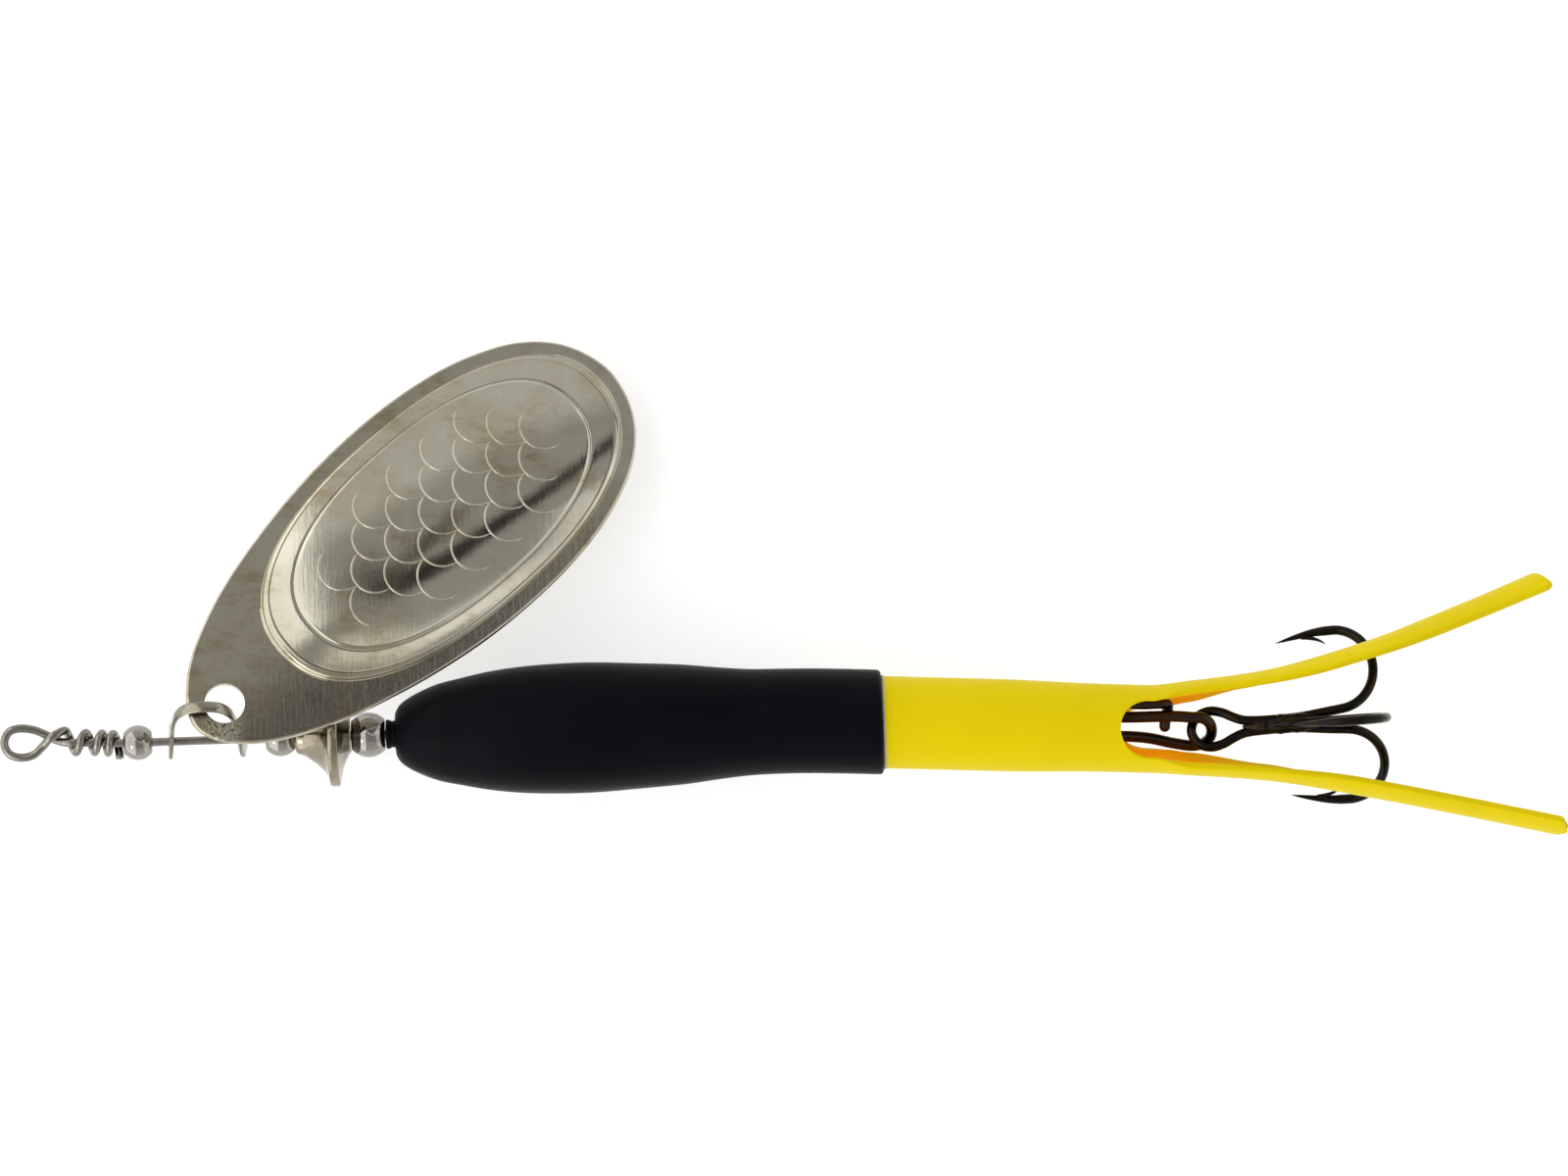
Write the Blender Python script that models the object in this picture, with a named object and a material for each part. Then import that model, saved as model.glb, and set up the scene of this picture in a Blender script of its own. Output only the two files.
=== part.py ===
"""Inline spinner lure lying on a flat surface.

+X runs along the wire from the line eye to the tails, +Z is up, and the
origin is the centre of the line eye on the wire's axis. Sizes are in mm and
are turned into metres when each mesh is made.
"""
import math

import bmesh
import bpy
from mathutils import Matrix, Vector

MM = 0.001
FLOOR = -6.65            # surface that the lure lies on

# wire shaft
SHAFT_R = 0.44
WRAP_R = 0.98            # centre line of the wraps
BORE_R = 0.52            # running holes on the wire
REAR_EYE_X = 102.6
REAR_EYE_R = 1.60

# clevis: holed legs on the wire, bow tilted up towards the viewer
CLEVIS_TILT = math.radians(65.5)
CLEVIS_T = 0.45
CLEVIS_LEG_R = 1.85
CLEVIS_BOW_W = 0.60      # half width of the bow strip
CLEVIS_TOP = 8.42

# blade
BLADE_HOLE = (20.93, 3.67, 5.80)
BLADE_YAW = math.radians(39.08)
BLADE_FALL = -0.226      # drop per mm along the blade
BLADE_ROLL = -0.155      # drop per mm towards its left edge
BLADE_T = 0.80
BLADE_LIP = 0.35         # rise of the flat lip from the rim to the panel
BLADE_HOLE_R = 2.05
PANEL = (29.6, 21.8, 11.2, 2.3)   # raised oval: centre, half length, half width, power
PANEL_STEP, PANEL_DOME = 0.40, 1.90
BLADE_OUTLINE = [(-3.9, 0.0), (-3.05, 2.35), (0.0, 5.45), (6.1, 8.6), (14.3, 11.0),
                 (22.5, 12.4), (29.7, 12.8), (36.9, 12.35), (43.0, 11.0), (48.2, 8.55),
                 (51.5, 5.1), (53.0, 0.0)]

# body
BEND_START, BEND_LEN, BEND_SLOPE = 76.0, 8.0, -0.0595
SLEEVE_WALL = 0.62
TUBE_R, TUBE_WALL = 4.72, 0.80
TUBE_NECK = 0.22         # narrowing of the tube's radius towards the slot
SLOT_X, SLOT_R, SLOT_LOW = 114.7, 3.0, 2.1    # slot is wider on the upper side
STUB_R = 3.82

# tails
TAIL_START, TAIL_END = 115.15, 156.6
UPPER_PATH = [(118.6, 2.27), (127.7, 3.32), (137.8, 5.85), (147.9, 9.30), (155.5, 12.15)]
LOWER_PATH = [(118.6, -6.48), (127.7, -7.52), (137.8, -9.55), (147.9, -11.85), (157.0, -14.05)]
# x, upper and lower half angle of the strip's section, twist that shows its outer face
UPPER_FORM = [(115.15, 46, 57, 0), (118.6, 42, 47, -7), (124.5, 37, 37, -2), (134.0, 35, 32, 8),
              (146.0, 35, 35, 16), (155.5, 35, 35, 18)]
LOWER_FORM = [(115.15, 46, 57, 0), (118.6, 43, 47, -8), (126.0, 40, 39, -3), (136.0, 40, 36, 8),
              (146.0, 36, 36, 13), (157.0, 36, 36, 14)]

# clip and treble
CLIP_R = 0.55
CLIP_END = (121.15, -2.47, -0.65)
HOOK_R = 0.50
SHANK_OFF = 0.61         # each shank wire from the treble's axis
TREBLE_EYE = (121.0, -2.31, -0.65)
TREBLE_SLOPE = math.tan(math.radians(2.3))
TREBLE_RISE = 0.042      # the treble's axis climbs towards its bends
HOOKS = ((-27.0, 0.0), (216.0, 0.5), (90.0, 0.8))     # angle and extra reach of each hook
BEND_X, BEND_LONG, BEND_RAD, BEND_MID = 134.2, 3.85, 4.50, 5.75


def clear_scene():
    for obj in list(bpy.data.objects):
        bpy.data.objects.remove(obj, do_unlink=True)


def material(name, colour, rough, metal):
    mat = bpy.data.materials.new(name)
    mat.use_nodes = True
    shader = mat.node_tree.nodes["Principled BSDF"]
    shader.inputs["Base Color"].default_value = (*colour, 1.0)
    shader.inputs["Roughness"].default_value = rough
    shader.inputs["Metallic"].default_value = metal
    return mat


def add_object(name, bm, pivot, look):
    """Mesh in mm, in place, becomes one node with its origin on its joint."""
    bmesh.ops.recalc_face_normals(bm, faces=bm.faces)
    if bm.calc_volume(signed=True) < 0:
        bmesh.ops.reverse_faces(bm, faces=bm.faces)
    bmesh.ops.translate(bm, verts=bm.verts, vec=-Vector(pivot))
    bmesh.ops.scale(bm, verts=bm.verts, vec=(MM, MM, MM))
    mesh = bpy.data.meshes.new(name)
    bm.to_mesh(mesh)
    bm.free()
    for face in mesh.polygons:
        face.use_smooth = True
    mesh.set_sharp_from_angle(angle=math.radians(35))
    mesh.materials.append(material(name, *look))
    obj = bpy.data.objects.new(name, mesh)
    obj.location = Vector(pivot) * MM
    bpy.context.scene.collection.objects.link(obj)
    return obj


def boolean(obj, cutter, operation):
    cutter.hide_render = True
    cutter.display_type = "WIRE"
    mod = obj.modifiers.new(cutter.name, "BOOLEAN")
    mod.operation = operation
    mod.object = cutter


def smooth(t):
    t = min(max(t, 0.0), 1.0)
    return t * t * (3.0 - 2.0 * t)


def body_y(x):
    """Side bend of the soft body: straight, then a steady slope."""
    if x <= BEND_START:
        return 0.0
    if x < BEND_START + BEND_LEN:
        return BEND_SLOPE * (x - BEND_START) ** 2 / (2.0 * BEND_LEN)
    return BEND_SLOPE * (x - BEND_START - BEND_LEN / 2.0)


def spline(points, step):
    """Points every step mm or so along a smooth curve through the given ones."""
    pts = [Vector(p) for p in points]
    ext = [pts[0] * 2 - pts[1]] + pts + [pts[-1] * 2 - pts[-2]]
    out = []
    for i in range(1, len(ext) - 2):
        a, b, c, d = ext[i - 1:i + 3]
        gaps = [max((q - p).length, 1e-6) ** 0.5 for p, q in ((a, b), (b, c), (c, d))]
        m1 = (b - a) / gaps[0] - (c - a) / (gaps[0] + gaps[1]) + (c - b) / gaps[1]
        m2 = (c - b) / gaps[1] - (d - b) / (gaps[1] + gaps[2]) + (d - c) / gaps[2]
        m1, m2 = m1 * gaps[1], m2 * gaps[1]
        turn = m1.angle(m2, 0.0) + m1.angle(c - b, 0.0)
        count = max(1, round((c - b).length / step)) if turn > 0.02 else 1
        for k in range(count):
            t = k / count
            out.append(b * (2 * t ** 3 - 3 * t ** 2 + 1) + m1 * (t ** 3 - 2 * t ** 2 + t)
                       + c * (3 * t ** 2 - 2 * t ** 3) + m2 * (t ** 3 - t ** 2))
    out.append(pts[-1])
    return out


def arc(centre, radius, start, end, count, place):
    """Points on a circle in a plane; place turns plane (a, b) into 3-D."""
    pts = []
    for k in range(count + 1):
        ang = math.radians(start + (end - start) * k / count)
        pts.append(place(centre[0] + radius * math.cos(ang), centre[1] + radius * math.sin(ang)))
    return pts


def loft(rings):
    """Closed body from equal rings, with flat ends."""
    bm = bmesh.new()
    rows = [[bm.verts.new(p) for p in ring] for ring in rings]
    n = len(rows[0])
    for a, b in zip(rows, rows[1:]):
        for k in range(n):
            bm.faces.new((a[k], a[(k + 1) % n], b[(k + 1) % n], b[k]))
    bm.faces.new(rows[0][::-1])
    bm.faces.new(rows[-1])
    return bm


def wire(path, radius, sides, radii=None):
    """Round wire along a path, without twist."""
    path = [Vector(p) for p in path]
    tangents = []
    for i in range(len(path)):
        a, b = path[max(i - 1, 0)], path[min(i + 1, len(path) - 1)]
        tangents.append((b - a).normalized())
    side = tangents[0].orthogonal().normalized()
    rings = []
    for i, (p, t) in enumerate(zip(path, tangents)):
        if i:
            turn = tangents[i - 1].rotation_difference(t)
            side = turn @ side
            side = (side - t * side.dot(t)).normalized()
        up = t.cross(side)
        r = radii[i] if radii else radius
        rings.append([p + (side * math.cos(2 * math.pi * k / sides)
                           + up * math.sin(2 * math.pi * k / sides)) * r for k in range(sides)])
    return loft(rings)


def revolve(profile, segs, bend=False):
    """Ring-shaped body: closed (x, r) profile turned about the wire's axis."""
    bm = bmesh.new()
    rows = []
    for x, r in profile:
        dy = body_y(x) if bend else 0.0
        rows.append([bm.verts.new((x, dy + r * math.cos(2 * math.pi * k / segs),
                                   r * math.sin(2 * math.pi * k / segs))) for k in range(segs)])
    m = len(rows)
    for i in range(m):
        a, b = rows[i], rows[(i + 1) % m]
        for k in range(segs):
            bm.faces.new((a[k], a[(k + 1) % segs], b[(k + 1) % segs], b[k]))
    return bm


# ---------------------------------------------------------------- wire shaft

def shaft_y(x):
    return 0.2 * smooth((9.6 - x) / 3.5)


def make_shaft():
    # front: eye, crossing strand, four wraps and the cut tail
    eye = [(-0.60, 1.83), (-1.55, 1.50), (-2.05, 0.42), (-1.62, -0.66), (-0.60, -1.12),
           (0.85, -0.92), (1.95, 0.02)]
    front = [(9.9, shaft_y(9.9), 0), (7.5, shaft_y(7.5), 0), (5.4, 0.2, 0), (4.4, 0.22, -0.05),
             (3.2, 0.55, -0.42), (2.2, 1.10, -0.50), (0.9, 1.66, -0.30)]
    front += [(x, y, -0.12 + 0.03 * i) for i, (x, y) in enumerate(eye)]
    front += [(2.75, 0.80, 0.52), (3.45, 1.22, 0.42)]
    tops = [4.15, 5.25, 6.30, 7.15, 7.95, 8.50, 9.02]
    for half in range(len(tops) - 1):
        for q in range(4):
            t = q / 4
            ang = math.pi * (half + t)
            x = tops[half] + (tops[half + 1] - tops[half]) * t
            rad = WRAP_R + (0.30 * (1 - t) if half == 0 else 0.0)
            front.append((x, shaft_y(x) + rad * math.cos(ang), -rad * math.sin(ang)))
    front += [(9.10, WRAP_R, 0.0), (9.24, 0.66, -0.76), (9.42, -0.1, -0.98), (9.58, -0.95, -0.75),
              (9.66, -1.6, -0.55)]
    # rear: upright eye that holds the clip, and two wraps
    rear = [(10.4, 0, 0), (60.0, 0, 0), (97.0, 0, 0), (99.4, 0, 0), (100.3, 0, 0.28)]
    rear += arc((REAR_EYE_X, 0.0), REAR_EYE_R, 140, -140, 10, lambda a, b: (a, 0.0, b))
    turns, x0 = 9, 100.25
    for q in range(turns + 1):
        ang = math.pi / 2 * q
        rear.append((x0 - 0.28 * q, WRAP_R * math.sin(ang), -WRAP_R * math.cos(ang)))
    path = spline(front[::-1], 0.42) + spline(rear, 0.55)
    return wire(path, SHAFT_R, 8)


# ------------------------------------------------------------ beads, collar

def bead_profile(x0, x1, radius, centre, steps=8):
    """Barrel of a drilled ball between two flat faces."""
    pts = [(x0, BORE_R)]
    a0 = math.acos((x0 - centre) / radius)
    a1 = math.acos((x1 - centre) / radius)
    for k in range(steps + 1):
        ang = a0 + (a1 - a0) * k / steps
        pts.append((centre + radius * math.cos(ang), radius * math.sin(ang)))
    return pts + [(x1, BORE_R)]


BEADS = {
    "front_bead": (10.15, 13.05, 1.80, 11.60),
    "bearing_bead": (24.67, 27.62, 1.90, 26.15),
    "rear_bead": (33.40, 36.85, 2.30, 35.15),
}
COLLAR = [(27.78, BORE_R), (27.78, 1.45), (27.95, 1.72), (28.55, 1.93), (29.30, 2.45), (30.08, 3.12),
          (30.70, 3.82), (31.00, 4.45), (31.12, 4.95), (31.30, 5.14), (31.72, 5.19), (32.05, 5.12),
          (32.18, 4.90), (32.23, 4.60), (32.55, 3.25), (32.88, 2.42), (33.22, 1.80), (33.22, BORE_R)]


# -------------------------------------------------------------------- clevis

def clevis_place(x, s, across=0.0):
    """(along the wire, away from the wire, across the strip) to 3-D."""
    c, sn = math.cos(CLEVIS_TILT), math.sin(CLEVIS_TILT)
    return Vector((x, s * c - across * sn, s * sn + across * c))


def clevis_path():
    return [(14.95, -CLEVIS_LEG_R), (15.20, -0.9), (15.45, 0.0), (15.66, 0.9), (15.85, 1.9),
            (16.15, 5.0), (16.50, 6.8), (17.2, 7.98), (18.4, 8.40), (19.5, CLEVIS_TOP),
            (20.5, 8.1), (21.2, 7.2), (21.55, 5.8), (22.0, 1.9), (22.12, 0.9), (22.22, 0.0),
            (22.32, -0.9), (22.42, -CLEVIS_LEG_R)]


def make_clevis():
    pts = [Vector((x, s, 0)) for x, s in clevis_path()]
    pts = spline(pts, 0.45)
    rings = []
    for i, p in enumerate(pts):
        t = (pts[min(i + 1, len(pts) - 1)] - pts[max(i - 1, 0)]).normalized()
        nrm = Vector((-t.y, t.x, 0))
        s = p.y
        leg = math.sqrt(max(CLEVIS_LEG_R ** 2 - s * s, 0.12)) if s < CLEVIS_LEG_R else 0.0
        half = max(leg, CLEVIS_BOW_W) if s > 0 else leg
        ring = []
        for side, face in ((1, 1), (-1, 1), (-1, -1), (1, -1)):
            q = p + nrm * (face * CLEVIS_T / 2)
            ring.append(clevis_place(q.x, q.y, side * half))
        rings.append(ring)
    return loft(rings)


def axle_cutter(name, x0, x1, radius):
    bm = bmesh.new()
    bmesh.ops.create_cone(bm, cap_ends=True, segments=16, radius1=radius, radius2=radius,
                          depth=x1 - x0, matrix=Matrix.Translation(((x0 + x1) / 2, 0, 0))
                          @ Matrix.Rotation(math.pi / 2, 4, "Y"))
    return add_object(name, bm, (0, 0, 0), ((0.5, 0.5, 0.5), 0.5, 0.0))


# --------------------------------------------------------------------- blade

def blade_frame():
    """Local x along the blade, y to its left edge, z out of its convex face."""
    ea = Vector((math.cos(BLADE_YAW), math.sin(BLADE_YAW), 0))
    eb = Vector((-math.sin(BLADE_YAW), math.cos(BLADE_YAW), 0))
    up = (Vector((0, 0, 1)) - ea * BLADE_FALL - eb * BLADE_ROLL).normalized()
    e1 = (ea + Vector((0, 0, BLADE_FALL))).normalized()
    e2 = up.cross(e1).normalized()
    frame = Matrix((e1, e2, up)).transposed().to_4x4()
    frame.translation = Vector(BLADE_HOLE)
    return frame


def blade_outline(step):
    """Closed outline, symmetric about the blade's length."""
    ends = [(BLADE_OUTLINE[k][0], -BLADE_OUTLINE[k][1]) for k in (1, -2)]
    full = spline([(x, y, 0) for x, y in ends[:1] + BLADE_OUTLINE + ends[1:]], step)
    half = [p for p in full if p.y > 1e-6]
    half = [Vector((BLADE_OUTLINE[0][0], 0, 0))] + half + [Vector((BLADE_OUTLINE[-1][0], 0, 0))]
    return half + [Vector((p.x, -p.y, 0)) for p in half[-2:0:-1]]


def half_width(x, half):
    for a, b in zip(half, half[1:]):
        if a.x <= x <= b.x:
            return a.y + (b.y - a.y) * (x - a.x) / max(b.x - a.x, 1e-6)
    return 0.0


def blade_height(x, y, half):
    """Height of the mid face above the rim plane: flat lip, step, domed panel."""
    x0, x1 = BLADE_OUTLINE[0][0], BLADE_OUTLINE[-1][0]
    along = (2 * x - x0 - x1) / (x1 - x0)
    wide = max(half_width(x, half), 0.4)
    across = min(abs(y) / wide, 1.0)
    lip = BLADE_LIP * max(1 - abs(along) ** 4, 0.0) * (1 - across ** 2)
    mid, length, width, power = PANEL
    oval = ((abs(x - mid) / length) ** power + (abs(y) / width) ** power) ** (1 / power)
    if oval >= 1.0:
        return lip
    return lip + PANEL_STEP * smooth((1.0 - oval) / 0.06) + PANEL_DOME * (1.0 - oval ** 2)


def make_blade():
    outline = blade_outline(2.4)
    half = [p for p in outline if p.y >= 0]
    half.sort(key=lambda p: p.x)
    angles = [math.atan2(p.y, p.x) for p in outline]
    steps = [0.0, 0.1, 0.24, 0.4, 0.56, 0.7, 0.8, 0.88, 0.94, 1.0]
    frame = blade_frame()
    bm = bmesh.new()
    top, low = [], []
    for t in steps:
        a, b = [], []
        for p, ang in zip(outline, angles):
            hole = Vector((BLADE_HOLE_R * math.cos(ang), BLADE_HOLE_R * math.sin(ang), 0))
            q = hole.lerp(p, t)
            h = blade_height(q.x, q.y, half)
            a.append(bm.verts.new(frame @ Vector((q.x, q.y, h + BLADE_T / 2))))
            b.append(bm.verts.new(frame @ Vector((q.x, q.y, h - BLADE_T / 2))))
        top.append(a)
        low.append(b)
    n = len(outline)
    loop = top + low[::-1]
    for i in range(len(loop)):
        a, b = loop[i], loop[(i + 1) % len(loop)]
        for k in range(n):
            bm.faces.new((a[k], a[(k + 1) % n], b[(k + 1) % n], b[k]))
    return bm


# ---------------------------------------------------------------------- body

SLEEVE = [(37.00, 1.50), (37.45, 1.35), (37.85, 1.42), (37.92, 2.15), (38.30, 2.85), (39.10, 3.50),
          (40.40, 4.20), (42.20, 4.92), (44.50, 5.45), (47.50, 6.05), (50.50, 6.42), (54.00, 6.62),
          (58.00, 6.65), (62.50, 6.42), (67.50, 6.10), (70.50, 5.76), (74.00, 5.44), (78.00, 5.36),
          (81.00, 5.36), (84.00, 5.36), (87.10, 5.36), (87.40, 5.26)]
WEIGHT_END, STUB_END = 67.0, 74.0
TUBE_START = 67.4


def sleeve_radius(x):
    for (xa, ra), (xb, rb) in zip(SLEEVE, SLEEVE[1:]):
        if xa <= x <= xb:
            return ra + (rb - ra) * (x - xa) / (xb - xa)
    return SLEEVE[-1][1]


def make_sleeve():
    inner = [(x, TUBE_R + 0.10) for x in (87.4, 84.0, 81.0, 78.0, 75.0, 73.0)]
    inner += [(x, sleeve_radius(x) - SLEEVE_WALL) for x in (67.5, 62.5, 58.0, 54.0, 50.5, 47.5,
                                                          44.5, 42.2, 40.4)]
    inner += [(39.35, 2.70), (38.80, 1.90), (38.55, BORE_R + 0.15), (37.00, BORE_R + 0.15)]
    return revolve(SLEEVE + inner, 32, bend=True)


def make_weight():
    gap = SLEEVE_WALL + 0.10
    outer = [(38.95, BORE_R), (38.95, 1.75), (39.50, 2.60)]
    outer += [(x, sleeve_radius(x) - gap) for x in (40.6, 42.2, 44.5, 47.5, 50.5, 54.0, 58.0, 62.5)]
    outer += [(WEIGHT_END, 5.30), (WEIGHT_END, STUB_R), (STUB_END, STUB_R), (STUB_END + 0.5, 3.3),
              (STUB_END + 0.5, BORE_R)]
    return revolve(outer, 28)


def tube_radius(x):
    return TUBE_R - TUBE_NECK * smooth((x - 99.0) / 12.0)


def make_tube():
    xs = [TUBE_START, 75.0, 78.0, 81.0, 84.0, 99.0, 102.0, 105.0, 108.0, 111.0, 112.7, 113.8, SLOT_X]
    outer = [(x, tube_radius(x)) for x in xs]
    return revolve(outer + [(x, r - TUBE_WALL) for x, r in outer[::-1]], 40, bend=True)


def slot_cutter():
    """Rounded end of the slot; its sides lean so that the underside is narrower."""
    bm = bmesh.new()
    mean, lean = (SLOT_R + SLOT_LOW) / 2, (SLOT_R - SLOT_LOW) / 2 * 7.0 / 3.7
    bmesh.ops.create_cone(bm, cap_ends=True, segments=40, radius1=mean - lean, radius2=mean + lean,
                          depth=14.0, matrix=Matrix.Translation((SLOT_X, body_y(SLOT_X), 0)))
    return add_object("slot_cutter", bm, (0, 0, 0), ((0.5, 0.5, 0.5), 0.5, 0.0))


def form_at(form, x):
    """Section of a tail strip at x, eased between the stations of its form."""
    for low, high in zip(form, form[1:]):
        if x <= high[0]:
            t = smooth((x - low[0]) / (high[0] - low[0]))
            return [math.radians(a + (b - a) * t) for a, b in zip(low[1:], high[1:])]
    return [math.radians(a) for a in form[-1][1:]]


def tail_rings(path, form, sign):
    """Strip of the tube's wall: arc section that narrows, flares, twists and droops."""
    outer = TUBE_R - TUBE_NECK
    mid = outer - TUBE_WALL / 2
    root = [(TAIL_START - 3.0, body_y(TAIL_START - 3.0) + sign * mid),
            (TAIL_START, body_y(TAIL_START) + sign * mid)]
    line = spline([(x, y, 0) for x, y in root + path], 1.7)
    line = [p for p in line if p.x >= TAIL_START - 0.01]
    rings = []
    for i, p in enumerate(line):
        a, b = line[max(i - 1, 0)], line[min(i + 1, len(line) - 1)]
        along = (p.x - TAIL_START) / (TAIL_END - TAIL_START)
        top, low, twist = form_at(form, p.x)
        drop = -4.0 * smooth((along - 0.55) / 0.45)
        t = Vector(((b - a).x, (b - a).y, 0)).normalized()
        out = Vector((-t.y, t.x, 0)) * sign
        radial = out * math.cos(twist) + Vector((0, 0, 1)) * math.sin(twist)
        rise = Vector((0, 0, 1)) * math.cos(twist) - out * math.sin(twist)
        centre = Vector((p.x, p.y, drop)) - radial * mid
        ring = []
        n = 6
        for r, order in ((outer, range(n + 1)), (outer - TUBE_WALL, range(n, -1, -1))):
            for k in order:
                ang = -low + (low + top) * k / n
                q = centre + (radial * math.cos(ang) + rise * math.sin(ang)) * r
                if i == len(line) - 1:
                    q += t * end_shape(ang / top, sign)
                ring.append(q)
        rings.append(ring)
    return rings


def end_shape(across, sign):
    """Cut end: slanted on the upper tail, a blunt point on the lower one."""
    if sign > 0:
        return 0.7 * across
    return -0.9 * abs(across - 0.4) ** 1.4 + 0.2


# ------------------------------------------------------------ clip and treble

def make_clip():
    front = arc((104.6, -0.75), 2.25, 80, 280, 10, lambda a, b: (a, b, -0.05))
    end = [(120.25, -3.78, -1.80), (120.95, -3.22, -1.30), CLIP_END,
           (120.95, -1.72, 0.0), (120.25, -1.16, 0.50)]
    path = [(116.35, -2.45, -0.82), (116.45, -1.3, -0.80), (116.65, -0.55, -0.70),
            (116.75, 0.12, -0.30), (116.55, 0.45, 0.22), (115.7, 0.52, 0.42), (114.0, 0.52, 0.30),
            (109.5, 1.05, 0.15), (106.2, 1.42, 0.0)]
    path += front
    path += [(106.6, -2.85, -0.25), (111.5, -2.72, -1.10), (114.6, -3.00, -1.62),
             (117.4, -3.66, -1.92), (119.2, -3.94, -1.98)]
    path += end
    path += [(119.2, -1.03, 0.64), (117.4, -0.86, 0.56), (113.0, -0.80, 0.30), (108.0, -0.62, 0.10)]
    return wire(spline(path, 0.75), CLIP_R, 8)


def treble_axis(x):
    return (TREBLE_EYE[1] + TREBLE_SLOPE * (x - TREBLE_EYE[0]),
            TREBLE_EYE[2] + TREBLE_RISE * (x - TREBLE_EYE[0]))


def hook_place(angle):
    """(x, distance from the treble's axis) in one hook's plane to 3-D."""
    ca, sa = math.cos(math.radians(angle)), math.sin(math.radians(angle))

    def place(x, r):
        axis_y, axis_z = treble_axis(x)
        return Vector((x - (TREBLE_SLOPE * ca + TREBLE_RISE * sa) * r, axis_y + r * ca,
                       axis_z + r * sa))
    return place


def hook_points(angle, reach):
    """Hook from its point round the bend to the shank."""
    place = hook_place(angle)
    x0 = BEND_X + reach
    tip = [place(128.3 + reach, 9.18), place(128.95 + reach, 9.36), place(130.0 + reach, 9.64),
           place(132.0 + reach, 10.08)]
    bend = []
    for k in range(13):
        ang = math.radians(96 - 172 * k / 12)
        bend.append(place(x0 + BEND_LONG * math.cos(ang), BEND_MID + BEND_RAD * math.sin(ang)))
    shank = [place(132.9, 1.02), place(130.8, 0.72), place(129.4, SHANK_OFF)]
    return tip, bend + shank


def tip_radii(count):
    sizes = [0.04, 0.20, 0.36, 0.46]
    return sizes + [HOOK_R] * (count - len(sizes))


def treble_eye_points():
    """Pear-shaped eye, turned a little against the hooks."""
    pts = []
    outline = [(126.0, 0.54, 12), (124.6, 0.64, 4), (123.4, 1.05, -7), (122.3, 1.60, -12),
               (121.1, 1.86, -14), (120.0, 1.55, -14), (119.35, 0.88, -14)]
    lean = math.radians(3.0)
    for sign in (1, -1):
        side = []
        for x, w, twist in outline:
            ang = lean + math.radians(twist)
            y, z = treble_axis(x)
            drop = -0.29 * smooth((x - 123.0) / 3.2)
            side.append(Vector((x, y + sign * w * math.cos(ang), z + drop
                                + sign * w * math.sin(ang))))
        pts.append(side)
    apex = Vector((119.08, TREBLE_EYE[1] - 0.08, TREBLE_EYE[2]))
    return pts[0] + [apex] + pts[1][::-1]


def make_double_hook():
    tip_a, rest_a = hook_points(*HOOKS[0])
    tip_b, rest_b = hook_points(*HOOKS[1])
    middle = spline(rest_a + treble_eye_points()[1:-1] + rest_b[::-1], 0.85)
    path = tip_a + middle + tip_b[::-1]
    radii = [0.04, 0.20, 0.36, 0.46] + [HOOK_R] * len(middle) + [0.46, 0.36, 0.20, 0.04]
    return wire(path, HOOK_R, 8, radii)


def make_single_hook():
    tip, rest = hook_points(*HOOKS[2])
    place = hook_place(HOOKS[2][0])
    middle = spline(rest + [place(128.0, SHANK_OFF)], 0.85)
    end = [place(127.6, SHANK_OFF)]
    radii = [0.04, 0.20, 0.36, 0.46] + [HOOK_R] * len(middle) + [0.30]
    return wire(tip + middle + end, HOOK_R, 8, radii)


def make_barb(angle, reach):
    """Small sliver raised on the inside of the point, fused to the hook."""
    place = hook_place(angle)
    root, tip = place(129.6 + reach, 9.50), place(131.9 + reach, 9.12)
    return wire([root, root.lerp(tip, 0.5), tip], 0.2, 6, [0.16, 0.15, 0.03])


# -------------------------------------------------------------------- looks

NICKEL = ((0.56, 0.54, 0.48), 0.25, 1.0)
STEEL = ((0.50, 0.49, 0.45), 0.32, 1.0)
BRONZE = ((0.12, 0.10, 0.085), 0.30, 1.0)
BRASS = ((0.62, 0.47, 0.20), 0.40, 1.0)
BLACK = ((0.012, 0.012, 0.016), 0.42, 0.0)
YELLOW = ((0.80, 0.66, 0.01), 0.35, 0.0)


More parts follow.
